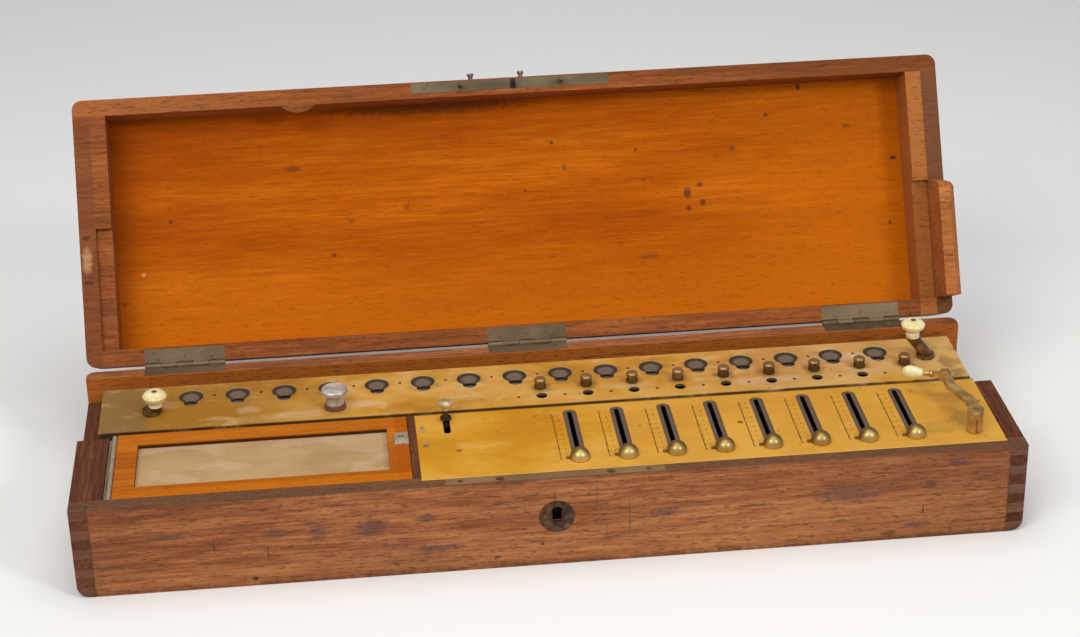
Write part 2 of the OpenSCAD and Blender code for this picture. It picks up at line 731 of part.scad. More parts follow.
// Knob, stem and fork of an input slider, and the pinion that its fork shifts along the digit shaft
module input_slider(i) {
    stem_w = slot_w - 2 * gap;
    neck_z = digit_z + pinion_r + 0.9;
    cheek_t = 1.5;
    pinion_teeth = 10;
    knob_foot = 0.8;
    color("gold") translate([slot_x0 + i * pitch, slider_y, 0]) {
        // Domed knob with its pointer, above the plate
        translate([0, 0, case_h + gap]) cylinder(h = knob_foot, r = slider_r);
        intersection() {
            translate([0, 0, case_h + gap + knob_foot]) sphere(r = slider_r);
            translate([0, 0, case_h + gap + knob_foot]) cylinder(h = 2 * slider_r, r = 2 * slider_r);
        }
        block([-slider_r - 2.4, -0.7, case_h + gap], [0, 0.7, case_h + gap + 1.2]);
        // Stem through the slot, and the fork behind it
        block([-stem_w / 2, -stem_w / 2, neck_z], [stem_w / 2, stem_w / 2, case_h + gap]);
        block([-2, -2, neck_z], [2, pinion_off + pinion_t / 2 + gap + cheek_t, neck_z + 3]);
        for (y = [pinion_off - pinion_t / 2 - gap - cheek_t, pinion_off + pinion_t / 2 + gap]) difference() {
            block([-3.6, y, digit_z - 1.4], [3.6, y + cheek_t, neck_z + over]);
            block([-square_side / 2 - gap, y - over, digit_z - 2],
                  [square_side / 2 + gap, y + cheek_t + over, digit_z + square_side / 2 + gap]);
        }
    }
    color("gold") translate([slot_x0 + i * pitch, slider_y + pinion_off, digit_z]) difference() {
        rod_y(-pinion_t / 2, pinion_t / 2, pinion_r);
        translate([-square_side / 2 - gap, -pinion_t, -square_side / 2 - gap])
            cube([square_side + 2 * gap, 2 * pinion_t, square_side + 2 * gap]);
        for (k = [0:pinion_teeth - 1]) rotate([0, (k + 0.5) * 360 / pinion_teeth, 0])
            translate([-0.7, -pinion_t, pinion_r - 1.4]) cube([1.4, 2 * pinion_t, 2]);
    }
}

module function_lever() {
    stem_r = lever_slot_w / 2 - gap;
    color("gold") translate([lever_x, lever_y, 0]) {
        translate([0, 0, plate_z - gap - 1.6]) cylinder(h = 1.6, r = 4.5);
        translate([0, 0, plate_z - gap - 12]) cylinder(h = 24, r = stem_r);
        translate([0, 0, case_h + gap]) cylinder(h = 1.8, r = 3.6);
        translate([0, 0, case_h + 9]) cylinder(h = 2, r1 = stem_r, r2 = 4.8);
        translate([0, 0, case_h + 11]) cylinder(h = 1.6, r = 4.8);
        translate([0, 0, case_h + 12.6]) cylinder(h = 1.4, r1 = 4.8, r2 = 2.6);
    }
}

module carriage_rail() {
    color("silver") {
        translate([0, rail_axis_y, rail_z])
            rod_x(-bracket_x - bracket_t, bracket_x + bracket_t, rail_r);
        for (side = [-1, 1]) translate([side * bracket_x, 0, 0]) difference() {
            block([-bracket_t / 2, rail_axis_y - 6, bottom_t], [bracket_t / 2, rail_axis_y + 6, rail_z + 6]);
            translate([0, rail_axis_y, rail_z]) rod_x(-bracket_t, bracket_t, rail_r);
        }
    }
}

module carriage_bushings() {
    color("goldenrod") for (x = bush_places) translate([x, rail_axis_y, rail_z]) difference() {
        union() {
            rod_x(-bush_len / 2, bush_len / 2, bush_r);
            for (s = [-1, 1]) rod_x(s * (bush_len - flange_t) / 2 - flange_t / 2,
                                    s * (bush_len - flange_t) / 2 + flange_t / 2, bush_r + 1.2);
        }
        rod_x(-bush_len, bush_len, rail_r + run);
    }
}

// A result window: a round hole at the front of a shallow dish
module window_cut() {
    dish_t = 1.4;
    dish_r = 4;
    flare = (window_w / 2 - dish_r) / dish_t;
    translate([0, -8.2, carriage_z - over]) cylinder(h = plate_t + 2 * over, r = 4.6);
    translate([0, 0, carriage_top - dish_t])
        cylinder(h = dish_t + over, r1 = dish_r, r2 = window_w / 2 + flare * over);
}

module carriage_plate() {
    color("darkgoldenrod") difference() {
        block([carriage_x0, carriage_front, carriage_z], [carriage_x1, carriage_rear, carriage_top]);
        for (i = [0:dials - 1]) translate([dial_x0 + i * pitch, window_y, 0]) window_cut();
        for (i = [0:dials - 2]) translate([dial_x0 + (i + 0.5) * pitch, window_y, carriage_z - over])
            cylinder(h = plate_t + 2 * over, r = marker_r);
        for (i = [0:counters - 1]) translate([counter_x0 + i * pitch, 0, carriage_z - over]) {
            translate([0, counter_window_y, 0]) cylinder(h = plate_t + 2 * over, r = counter_window_r);
            translate([0, counter_y, 0]) cylinder(h = plate_t + 2 * over, r = spindle_r + run);
            translate([-pitch / 2, counter_window_y, 0]) cylinder(h = plate_t + 2 * over, r = marker_r);
        }
        for (p = [left_pivot, right_pivot]) translate([p[0], p[1], carriage_z - over])
            cylinder(h = plate_t + 2 * over, r = reset_pin_r + run);
    }
}

module carriage_frame() {
    y0 = carriage_front + 0.7;
    y1 = frame_rear;
    x0 = carriage_x0 + 1;
    x1 = carriage_x1 - 1;
    color("darkgoldenrod") difference() {
        union() {
            block([x0, y0, floor_z], [x1, y1, floor_z + floor_t]);
            block([x0, y0, carriage_low], [x1, y0 + frame_bar, carriage_z]);
            block([x0, y1 - frame_bar, floor_z], [x1, y1, carriage_z]);
            for (x = [x0, x1 - frame_bar]) block([x, y0, floor_z], [x + frame_bar, y1, carriage_z]);
            // Lugs that turn on the bushings
            for (x = bush_places) {
                block([x - lug_len / 2, y1 - over, floor_z - 2],
                      [x + lug_len / 2, rail_axis_y, floor_z + 2]);
                translate([x, rail_axis_y, rail_z]) rod_x(-lug_len / 2, lug_len / 2, lug_r);
            }
        }
        for (x = bush_places) translate([x, rail_axis_y, rail_z]) rod_x(-bush_len, bush_len, bush_r + run);
        for (i = [0:dials - 1]) translate([dial_x0 + i * pitch, dial_y, floor_z - over])
            cylinder(h = floor_t + 2 * over, r = spindle_r);
        for (i = [0:counters - 1]) translate([counter_x0 + i * pitch, counter_y, floor_z - over])
            cylinder(h = floor_t + 2 * over, r = spindle_r + run);
    }
}

module carriage_lift_knob() {
    color("silver") translate([lift_x, lift_y, carriage_top]) {
        cylinder(h = 3, r1 = 7.2, r2 = 6.4);
        translate([0, 0, 3]) cylinder(h = 6.2, r1 = 5.8, r2 = 5.4);
        translate([0, 0, 9.2]) cylinder(h = 1.6, r1 = 5.4, r2 = 8.4);
        translate([0, 0, 10.8]) cylinder(h = 2.2, r = 8.4);
        translate([0, 0, 13]) cylinder(h = 0.8, r1 = 8.4, r2 = 7.6);
    }
}

module result_dials() {
    color("ivory") for (i = [0:dials - 1]) translate([dial_x0 + i * pitch, dial_y, 0]) {
        translate([0, 0, dial_z]) cylinder(h = dial_t, r = dial_r);
        translate([0, 0, carriage_low + 0.4]) cylinder(h = dial_z - carriage_low, r = spindle_r);
        translate([0, 0, carriage_low + 0.4]) cylinder(h = 2.4, r1 = 3.2, r2 = 4.8);
    }
}

// A counter knob with its spindle and its dial below the plate
module counter_knob(i) {
    color("gold") translate([counter_x0 + i * pitch, counter_y, 0]) {
        translate([0, 0, floor_z]) cylinder(h = carriage_top - floor_z + 2, r = spindle_r);
        translate([0, 0, counter_z]) cylinder(h = dial_t, r = counter_dial_r);
        translate([0, 0, carriage_top + gap]) cylinder(h = 2, r = counter_knob_r);
        translate([0, 0, carriage_top + gap + 2])
            cylinder(h = 2, r1 = counter_knob_r - 1, r2 = counter_knob_r - 1.2);
        translate([0, 0, carriage_top + gap + 4]) cylinder(h = 2, r = counter_knob_r);
        translate([0, 0, carriage_top + gap + 6])
            cylinder(h = 0.8, r1 = counter_knob_r, r2 = counter_knob_r - 1);
    }
}

// Turned ivory knob: neck, cap and a small dimple on top
module turned_knob(cap_r) {
    difference() {
        union() {
            cylinder(h = 2, r1 = 3.6, r2 = 4.6);
            translate([0, 0, 2]) cylinder(h = 2.6, r1 = 4.6, r2 = 3.8);
            translate([0, 0, 4.6]) cylinder(h = 2.4, r1 = 3.8, r2 = cap_r - 0.6);
            translate([0, 0, 7]) cylinder(h = 2.2, r1 = cap_r - 0.6, r2 = cap_r);
            translate([0, 0, 9.2]) cylinder(h = 2, r1 = cap_r, r2 = cap_r - 1.6);
            translate([0, 0, 11.2]) cylinder(h = 1, r1 = cap_r - 1.6, r2 = cap_r - 4);
        }
        translate([0, 0, 11.4]) cylinder(h = 2, r = 1.6);
    }
}

// A reset knob on an arm that turns about a pivot; the arm reaches out and rises to the knob
module reset_knob(pivot, reach, turn, rise) {
    color("ivory") translate([pivot[0], pivot[1], carriage_top + gap]) rotate([0, 0, turn]) {
        cylinder(h = reset_base_h, r = reset_base_r);
        translate([0, 0, -gap - plate_t - 1]) cylinder(h = plate_t + gap + 2, r = reset_pin_r);
        hull() {
            translate([0, 0, reset_base_h - 1]) cylinder(h = 2.4, r = 4, $fn = 32);
            translate([reach, 0, rise]) cylinder(h = 2, r = 4, $fn = 32);
        }
        translate([reach, 0, rise + 1.4]) turned_knob(7.8);
    }
}

module reset_knob_left() {
    reset_knob(left_pivot, 3, 25, 0.8);
}

module reset_knob_right() {
    reset_knob(right_pivot, 9.3, 180, 13.8);
}

// Middle line of the crank's arm in plan, from the hub to the handle's joint
function arm_point(s, side) = [1.7 * sin(360 * s) + side * (3.4 - 0.7 * s),
                               s * (crank_radius - joint_r + 0.2)];

// Arm of the crank: an S-shaped bar that narrows towards the joint
module crank_bar(t) {
    steps = 20;
    linear_extrude(height = t) polygon(concat(
        [for (k = [0:steps]) arm_point(k / steps, -1)],
        [for (k = [0:steps]) arm_point(1 - k / steps, 1)]));
}

module crank_arm() {
    head_t = 3.4;
    dimple_r = 1.9;
    key_w = 1.4;
    key_h = 10;
    color("goldenrod") {
        // Vertical shaft with its bevel
        translate([crank_x, crank_y, drum_z]) bevel();
        translate([crank_x, crank_y, drum_z + bevel_in])
            cylinder(h = arm_z - drum_z - bevel_in, r = shaft_r);
        // Hub above the plate with a keyway at the front and a dimple on top, and the arm
        difference() {
            union() {
                translate([crank_x, crank_y, case_h + gap]) cylinder(h = arm_h - gap, r = hub_r);
                translate([crank_x, crank_y, arm_z - head_t / 2]) cylinder(h = head_t, r = hub_r + 0.4);
                translate([crank_x, crank_y, arm_z - head_t / 2])
                    rotate([0, 0, crank_angle]) crank_bar(head_t);
            }
            translate([crank_x, crank_y, arm_z + 0.4]) cylinder(h = head_t, r = dimple_r);
            block([crank_x - key_w / 2, crank_y - hub_r - over, case_h],
                  [crank_x + key_w / 2, crank_y - shaft_r - 0.2, case_h + key_h]);
        }
        // Fork at the end of the arm, with the handle's pin
        translate([joint_x, joint_y, arm_z]) rotate([0, 0, handle_turn]) {
            for (s = [-1, 1]) translate([0, s * (fork_gap + fork_wall) / 2, 0]) {
                rod_y(-fork_wall / 2, fork_wall / 2, joint_r);
                block([-joint_r - 2, -fork_wall / 2, -1.7], [0, fork_wall / 2, 1.7]);
            }
            rod_y(-fork_gap / 2 - fork_wall, fork_gap / 2 + fork_wall, joint_pin_r);
            block([-joint_r - 2, -fork_gap / 2 - fork_wall, -1.7],
                  [-joint_r, fork_gap / 2 + fork_wall, 1.7]);
        }
    }
}

module crank_handle() {
    tang = fork_gap - 2 * gap;
    color("ivory") translate([joint_x, joint_y, arm_z]) rotate([0, 0, handle_turn]) {
        difference() {
            union() {
                rod_y(-tang / 2, tang / 2, joint_r - 0.4);
                block([0, -tang / 2, -1.6], [8, tang / 2, 1.6]);
            }
            rod_y(-fork_gap, fork_gap, joint_pin_r + run);
        }
        translate([8, 0, 0]) rotate([0, 90, 0]) rotate_extrude() polygon([
            [0, 0], [2.2, 0], [2.2, 1.4], [1.7, 2], [1.7, 5], [2.4, 5.6], [3, 8], [3.8, 10.8], [4.2, 13.6],
            [3.8, 16.4], [2.4, handle_len - 8.7], [0, handle_len - 8]]);
    }
}

module lid_panel() {
    color("peru") swing_open() outline(lid_top - panel_t, lid_top, corner_r);
}

module lid_rails() {
    panel_z = lid_top - panel_t;
    color("saddlebrown") swing_open() intersection() {
        outline(rim_z, panel_z, corner_r);
        rail_frame(panel_z);
    }
}

// The lid's four rails with square corners, lined at the ends, the lug, and seats for hinges and lock plate
module rail_frame(panel_z) {
    lug_w = 23;
    lug_out = 5;
    lug_x = -0.2444 * case_w;
    lug_round = (lug_w * lug_w / 4 + lug_out * lug_out) / (2 * lug_out);
    union() {
        difference() {
            union() {
                block([-half_w, front, rim_z], [half_w, inner_front, panel_z]);
                // Small half-round lug on the inner edge of the front rail
                intersection() {
                    translate([lug_x, inner_front + lug_out - lug_round, rim_z])
                        cylinder(h = 4, r = lug_round);
                    block([lug_x - lug_w, front + 1, rim_z], [lug_x + lug_w, inner_rear, rim_z + 4]);
                }
            }
            block([-selvedge_half, lock_y - selvedge_w / 2, rim_z - over],
                  [selvedge_half, lock_y + selvedge_w / 2, rim_z + leaf_t]);
        }
        difference() {
            block([-half_w, inner_rear, rim_z], [half_w, rear, panel_z]);
            hinge_mortises(rim_z - over, rim_z + leaf_t);
        }
        for (side = [-1, 1]) {
            rail_x = side > 0 ? inner_w - liner_w : -half_w;
            cut_x = side > 0 ? inner_w - liner_w - over : -inner_w;
            difference() {
                block([rail_x, inner_front, rim_z], [rail_x + wall_t + liner_w, inner_rear, panel_z]);
                block([cut_x, step_y, rim_z - over],
                      [cut_x + liner_w + over, inner_rear + over, rim_z + liner_cut]);
            }
        }
    }
}

module lid_cheek_block() {
    bevel_cut = 5;
    nose_cut = 9;
    cheek_z = step_level(1) + 2 * gap;
    color("saddlebrown") swing_open() difference() {
        intersection() {
            block([inner_w, step_y + 2 * gap, cheek_z], [half_w, inner_rear - 2 * gap, rim_z]);
            // Rounded about the hinge line, to swing clear of the end board
            translate([0, hinge_y, hinge_z])
                rod_x(inner_w - over, half_w + over, hinge_y - step_y - 2 * gap);
        }
        translate([half_w, 0, cheek_z]) rotate([0, 45, 0])
            block([-bevel_cut / 2, front, -bevel_cut / 2], [bevel_cut / 2, rear, bevel_cut / 2]);
        translate([half_w, step_y + 2 * gap, 0]) rotate([0, 0, 45])
            block([-nose_cut / 2, -nose_cut / 2, 0], [nose_cut / 2, nose_cut / 2, lid_top]);
    }
}

module lid_lock_plate() {
    color("darkkhaki") swing_open() {
        block([-selvedge_half, lock_y - selvedge_w / 2, rim_z],
              [selvedge_half, lock_y + selvedge_w / 2, rim_z + leaf_t]);
        for (side = [-1, 1]) translate([side * prong_span / 2, lock_y, 0]) difference() {
            block([-prong_x / 2, -prong_y / 2, rim_z - prong_len], [prong_x / 2, prong_y / 2, rim_z]);
            block([-prong_x, -0.9, eye_z0], [prong_x, 0.9, eye_z1]);
        }
    }
}

module lid_studs() {
    color("gray") swing_open() for (x = [-26, 8]) translate([x, front, rim_z + 7]) rotate([90, 0, 0]) {
        cylinder(h = 4.4, r = 1.6);
        translate([0, 0, 3]) cylinder(h = 1.8, r = 2.2);
    }
}

case_front_board();
case_rear_board();
case_end_boards();
case_bottom_board();
compartment_walls();
hinge_base_leaves();
box_lock();
lock_bolt();
keyhole_escutcheon();
input_plate();
plate_screws();
mechanism_frame();
carriage_rail();
digit_shafts();
lid_panel();
lid_rails();
lid_cheek_block();
hinge_lid_leaves();
lid_lock_plate();
lid_studs();
tablet_frame();
tablet_sheet();
tablet_hinge_leaf();
tablet_pull();
carriage_bushings();
carriage_plate();
carriage_frame();
carriage_lift_knob();
result_dials();
reset_knob_left();
reset_knob_right();
crank_arm();
crank_handle();
main_shaft();
function_lever();
for (i = [1:counters]) counter_knob(i - 1);
for (i = [1:sliders]) stepped_drum(i - 1);
for (i = [1:sliders]) input_slider(i - 1);
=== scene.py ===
# Calculating machine in its wooden case: finishes, small trim, studio and camera
import json
import math

import bmesh
import bpy
from mathutils import Matrix, Vector


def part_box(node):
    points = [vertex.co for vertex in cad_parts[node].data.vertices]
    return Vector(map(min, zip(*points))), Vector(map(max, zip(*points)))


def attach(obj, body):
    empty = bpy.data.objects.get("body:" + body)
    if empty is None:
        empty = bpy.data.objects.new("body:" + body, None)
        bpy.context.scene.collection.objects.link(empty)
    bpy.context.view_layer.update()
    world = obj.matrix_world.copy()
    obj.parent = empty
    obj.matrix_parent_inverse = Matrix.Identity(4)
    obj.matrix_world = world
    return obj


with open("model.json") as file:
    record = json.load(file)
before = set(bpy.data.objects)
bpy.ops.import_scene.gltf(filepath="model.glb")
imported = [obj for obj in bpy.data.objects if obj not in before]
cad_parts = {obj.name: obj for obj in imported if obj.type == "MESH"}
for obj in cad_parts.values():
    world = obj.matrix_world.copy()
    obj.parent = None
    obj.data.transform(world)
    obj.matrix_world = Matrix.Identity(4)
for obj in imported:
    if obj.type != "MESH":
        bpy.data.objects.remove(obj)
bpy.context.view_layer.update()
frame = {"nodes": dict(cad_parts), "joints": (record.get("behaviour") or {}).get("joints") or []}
nodes = frame["nodes"]
mm = 0.001
joints = {j["name"]: j for j in frame["joints"]}
hingeLine = Vector(joints["lid_hinge"]["pos_m"])
openTurn = Matrix.Rotation(math.radians(joints["lid_hinge"]["range_deg"][0]), 4, "X")
lidUp, lidOut = (openTurn.to_3x3() @ Vector(way) for way in ((0, -1, 0), (0, 0, 1)))
print("frame loaded:", len(nodes), "nodes")


# One shader socket; arithmetic on it adds Math nodes
class Wire:
    def __init__(self, finish, socket):
        self.finish = finish
        self.socket = socket

    def __add__(self, other):
        return self.finish.maths("ADD", self, other)

    def __radd__(self, other):
        return self.finish.maths("ADD", other, self)

    def __sub__(self, other):
        return self.finish.maths("SUBTRACT", self, other)

    def __rsub__(self, other):
        return self.finish.maths("SUBTRACT", other, self)

    def __mul__(self, other):
        return self.finish.maths("MULTIPLY", self, other)

    def __rmul__(self, other):
        return self.finish.maths("MULTIPLY", other, self)

    def __abs__(self):
        return self.finish.maths("ABSOLUTE", self)


# A material while its nodes are being laid out
class Finish:
    def __init__(self, name):
        self.material = bpy.data.materials.new(name)
        self.material.use_nodes = True
        self.tree = self.material.node_tree
        self.tree.nodes.clear()
        self.output = self.tree.nodes.new("ShaderNodeOutputMaterial")
        self.place = self.node("ShaderNodeTexCoord", out="Object")
        apart = self.node("ShaderNodeSeparateXYZ", sockets={0: self.place}, out=None)
        self.axes = {axis: Wire(self, apart.outputs[i]) for i, axis in enumerate("xyz")}
        self.x, self.y, self.z = self.axes.values()

    def node(self, kind, settings=None, sockets=None, out=0):
        made = self.tree.nodes.new(kind)
        for key, value in (settings or {}).items():
            if key == "stops":
                bar = made.color_ramp.elements
                while len(bar) < len(value):
                    bar.new(0.5)
                for stop, (at, colour) in zip(bar, value):
                    stop.position = at
                    stop.color = (*colour, 1)
            else:
                setattr(made, key, value)
        for key, value in (sockets or {}).items():
            if isinstance(value, Wire):
                self.tree.links.new(value.socket, made.inputs[key])
            elif value is not None:
                made.inputs[key].default_value = value
        return made if out is None else Wire(self, made.outputs[out])

    def maths(self, operation, a, b=None, clamp=False):
        return self.node("ShaderNodeMath", {"operation": operation, "use_clamp": clamp}, {0: a, 1: b})

    # Noise with its own number of waves per metre along X, Y and Z
    def noise(self, waves, detail=3.0, rough=0.55, shift=0.0):
        spot = self.node("ShaderNodeMapping", None,
                         {"Vector": self.place, "Location": (shift, shift, shift), "Scale": waves})
        return self.node("ShaderNodeTexNoise", None,
                         {"Vector": spot, "Scale": 1.0, "Detail": detail, "Roughness": rough})

    # 0 below low, 1 above high, smooth between
    def step(self, value, low, high):
        return self.node("ShaderNodeMapRange", {"interpolation_type": "SMOOTHSTEP"},
                         {"Value": value, "From Min": low, "From Max": high, "To Min": 0.0, "To Max": 1.0})

    # 1 at a place along one axis, falling to 0 within a reach of it
    def near(self, value, place, reach):
        return self.step(abs(value - place), reach, 0.0)

    # Distance along a direction, from an origin
    def along(self, direction, origin=Vector()):
        return self.node("ShaderNodeVectorMath", {"operation": "DOT_PRODUCT"},
                         {0: self.place, 1: direction}, out="Value") - direction.dot(origin)

    # 1 where each (axis, low, high) span is past its high end
    def zone(self, spans, rag=0.0):
        total = 1.0
        for axis, low, high in spans:
            total = self.step(self.axes[axis] + rag, low, high) * total
        return total

    # 1 inside an ellipse over (value, middle, half) spans, with a ragged soft rim
    def patch(self, spans, rag, soft=0.65):
        total = rag
        for value, middle, half in spans:
            part = (value - middle) * (1 / half)
            total = total + part * part
        return self.step(total, 1.0, 1.0 - soft)

    def ramp(self, value, stops):
        return self.node("ShaderNodeValToRGB", {"stops": stops}, {0: value})

    def mix(self, amount, a, b):
        a = a if isinstance(a, Wire) else (*a, 1)
        b = b if isinstance(b, Wire) else (*b, 1)
        return self.node("ShaderNodeMix", {"data_type": "RGBA"}, {0: amount, 6: a, 7: b}, out=2)

    def bump(self, height, strength, depth):
        return self.node("ShaderNodeBump", None, {"Height": height, "Strength": strength, "Distance": depth})

    def surface(self, sockets):
        return self.node("ShaderNodeBsdfPrincipled", None, sockets)

    def done(self, shader):
        self.tree.links.new(shader.socket, self.output.inputs["Surface"])
        return self.material


# Colour stops at even distances
def even(*shades):
    return [(i / (len(shades) - 1), shade) for i, shade in enumerate(shades)]


# Wood with figure, fibres, pores and stains; grain says which axis the fibres follow
def makeWood(name, look):
    f = Finish(name)
    f.axes["v"], f.axes["w"] = f.along(lidUp, hingeLine), f.along(lidOut, hingeLine)

    def waves(along, across):
        return tuple(along if axis == look["grain"] else across for axis in "xyz")

    shift = look.get("shift", 0.0)
    figure = f.noise(waves(3.0, look["figureWaves"]), 4.0, 0.6, shift)
    fibre = f.noise(waves(26, 430), 4.0, 0.7, shift + 3)
    streaks = f.step(f.noise(waves(44, 520), 3.0, 0.6, shift + 6), 0.56, 0.70)
    pores = f.step(f.noise(waves(190, 1150), 2.0, 0.5, shift + 5), 0.58, 0.68)
    blotch = f.step(f.noise(waves(11, 26), 4.0, 0.65, shift + 8), 0.50, 0.72)
    dents = f.step(f.noise((75, 75, 75), 3.0, 0.6, shift + 11), 0.70, 0.76)
    rag = (f.noise((260, 260, 260), 3.0, 0.65, shift + 14) - 0.5) * 1.6
    colour = f.ramp(f.step(figure * look["figure"] + fibre * (1 - look["figure"]), 0.32, 0.68), look["tones"])
    colour = f.mix(blotch * look["stain"], colour, look["stainColour"])
    # Zones, marks and covers lay flat shades over spans: in some looks real colour, in others painted light
    # or shade
    for spans, shade, amount in look.get("zones", []):
        colour = f.mix(f.zone(spans) * amount, colour, shade)
    for a, b, halfA, halfB, shade, amount in look.get("marks", []):
        first, second = (f.axes[axis] for axis in look["markAxes"])
        spot = f.patch([(first, a * mm, halfA * mm), (second, b * mm, halfB * mm)], rag, 0.95)
        colour = f.mix(spot * amount, colour, shade)
    for spans, shade, amount in look.get("cover", []):
        colour = f.mix(f.zone(spans) * amount, colour, shade)
    colour = f.mix(streaks * look["streak"], colour, look["poreColour"])
    colour = f.mix(pores * look["pore"], colour, look["poreColour"])
    colour = f.mix(dents * look["dent"], colour, look["poreColour"])
    for axis, place, reach, amount in look.get("grime", []):
        edge = f.near(f.axes[axis], place, reach)
        colour = f.mix(edge * f.step(rag, -0.5, 0.5) * amount, colour, look["poreColour"])
    return f.done(f.surface({
        "Base Color": colour,
        "Roughness": look["rough"] + fibre * 0.16 + pores * 0.15,
        "Normal": f.bump(fibre * 0.35 - pores * 0.8 - dents * 0.9, look["relief"], 0.0005),
        "Specular IOR Level": look["shine"],
        "Coat Weight": look["varnish"],
        "Coat Roughness": 0.35,
    }))


# Places in metres: the case's top edge, the corner joints, and the open lid's end rails and far rail
caseTop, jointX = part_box("case_front_board")[1].z, 281.5 * mm
endRails, farRail = ("v", 0.1690, 0.1680), ("v", 0.1680, 0.1690)
purple, soot, tan = (0.125, 0.058, 0.048), (0.045, 0.022, 0.016), (0.400, 0.170, 0.055)
caseWoodLook = {
    "grain": "x", "figureWaves": 40, "figure": 0.45, "streak": 0.50, "pore": 0.62, "dent": 0.60,
    "stain": 0.42, "rough": 0.55, "relief": 0.45, "varnish": 0.0, "shine": 0.14,
    "tones": [(0.0, (0.180, 0.052, 0.018)), (0.4, (0.300, 0.099, 0.034)), (0.7, (0.410, 0.148, 0.052)),
              (1.0, (0.540, 0.222, 0.080))],
    "stainColour": (0.200, 0.074, 0.040), "poreColour": (0.070, 0.026, 0.016),
    "zones": [([("z", 0.024, 0.006)], (0.430, 0.170, 0.055), 0.22),
              ([("x", 0.090, 0.270)], (0.260, 0.100, 0.040), 0.30),
              ([("x", jointX - 1 * mm, jointX + 1 * mm)], (0.110, 0.066, 0.048), 0.72),
              ([("x", 1 * mm - jointX, -1 * mm - jointX)], (0.120, 0.052, 0.036), 0.72),
              # Painted shade: the board's top face is darkened where it meets the plate and the tablet
              ([("z", caseTop - 0.8 * mm, caseTop - 0.3 * mm)], (0.150, 0.075, 0.036), 0.8)],
    "grime": [("z", 0.0, 0.006, 0.85), ("z", caseTop, 0.004, 0.45), ("x", jointX, 0.0016, 0.8),
              ("x", -jointX, 0.0016, 0.8)],
    "markAxes": "xz",
    "marks": [(-112, 36, 13, 8, purple, 0.75), (-145, 35, 7, 7, purple, 0.6), (-171, 36, 9, 5, purple, 0.6),
              (-80, 39, 8, 4, purple, 0.7), (-74, 17, 19, 3.4, purple, 0.7), (-237, 38, 14, 2.2, purple, 0.7),
              (-185, 5, 2.4, 1.8, soot, 0.9), (-9.3, 15.4, 1.8, 1.8, soot, 0.85), (-37, 8, 3, 1.0, soot, 0.8),
              (44.7, 30, 0.7, 17, purple, 0.7), (24.6, 46, 0.7, 12, purple, 0.6),
              (30.6, 20, 0.6, 8, purple, 0.55),
              (-1, 48, 0.6, 5, soot, 0.6), (66, 32, 13, 4, purple, 0.6), (181, 36, 26, 8, purple, 0.65),
              (123, 32, 15, 1.2, soot, 0.6), (225, 10, 12, 2.6, purple, 0.7), (232, 38, 5, 4, purple, 0.6),
              (207, 5, 6, 2.5, soot, 0.6), (249, 53, 8, 4, purple, 0.7), (228, 21, 0.9, 5, soot, 0.6),
              (-208, 30, 0.8, 6, soot, 0.55), (-176, 23, 0.8, 7, soot, 0.55), (-176, 10, 24, 4, tan, 0.5)],
}
rearWoodLook = dict(caseWoodLook, shift=3.0, marks=[],
                    # Painted light: the rear board's inner face is made lighter than its wood, standing in
                    # for light reaching it under the open lid
                    zones=[([("y", 0.0786, 0.0781)], (0.480, 0.130, 0.014), 0.9)],
                    grime=[("z", 0.0, 0.006, 0.85)])
endWoodLook = dict(caseWoodLook, grain="y", shift=2.0, marks=[], zones=[], stain=0.3, streak=0.4,
                   tones=[(0.0, (0.064, 0.019, 0.008)), (0.4, (0.107, 0.033, 0.014)),
                          (0.7, (0.150, 0.048, 0.019)), (1.0, (0.205, 0.070, 0.028))],
                   stainColour=(0.084, 0.033, 0.019), poreColour=(0.034, 0.015, 0.010),
                   grime=[("z", 0.0, 0.006, 0.85)])
innerWoodLook = dict(endWoodLook, grain="x", shift=4.0)
lidRailLook = dict(caseWoodLook, shift=6.0, stain=0.35, pore=0.5, streak=0.4, markAxes="xv",
                   tones=[(0.0, (0.165, 0.042, 0.009)), (0.4, (0.252, 0.067, 0.014)),
                          (0.7, (0.330, 0.092, 0.019)), (1.0, (0.420, 0.136, 0.032))],
                   zones=[([("x", 0.2700, 0.2704), endRails], (0.470, 0.162, 0.036), 0.75),
                          ([("x", jointX - 0.3 * mm, jointX + 0.3 * mm), endRails],
                           (0.140, 0.055, 0.025), 0.85),
                          ([("x", 0.3 * mm - jointX, -0.3 * mm - jointX), endRails],
                           (0.185, 0.056, 0.018), 0.6),
                          # Painted light and shade: the far rail is lighter on its left and darker on its
                          # right, as the light falls from the left
                          ([farRail, ("x", -0.060, -0.260)], (0.460, 0.150, 0.036), 0.5),
                          ([farRail, ("x", 0.040, 0.220)], (0.160, 0.044, 0.010), 0.65)],
                   marks=[(-288, 73, 4.2, 11, (0.500, 0.270, 0.115), 0.9), (-288, 88, 4, 2, soot, 0.7),
                          (-288, 58, 4, 2, soot, 0.7)], grime=[])
cheekWoodLook = dict(lidRailLook, shift=7.0, zones=[], marks=[], stain=0.2,
                     tones=even((0.290, 0.088, 0.020), (0.440, 0.146, 0.035), (0.560, 0.210, 0.058)))
panelIn = min(lidOut.dot(v.co - hingeLine) for v in nodes["lid_panel"].data.vertices)
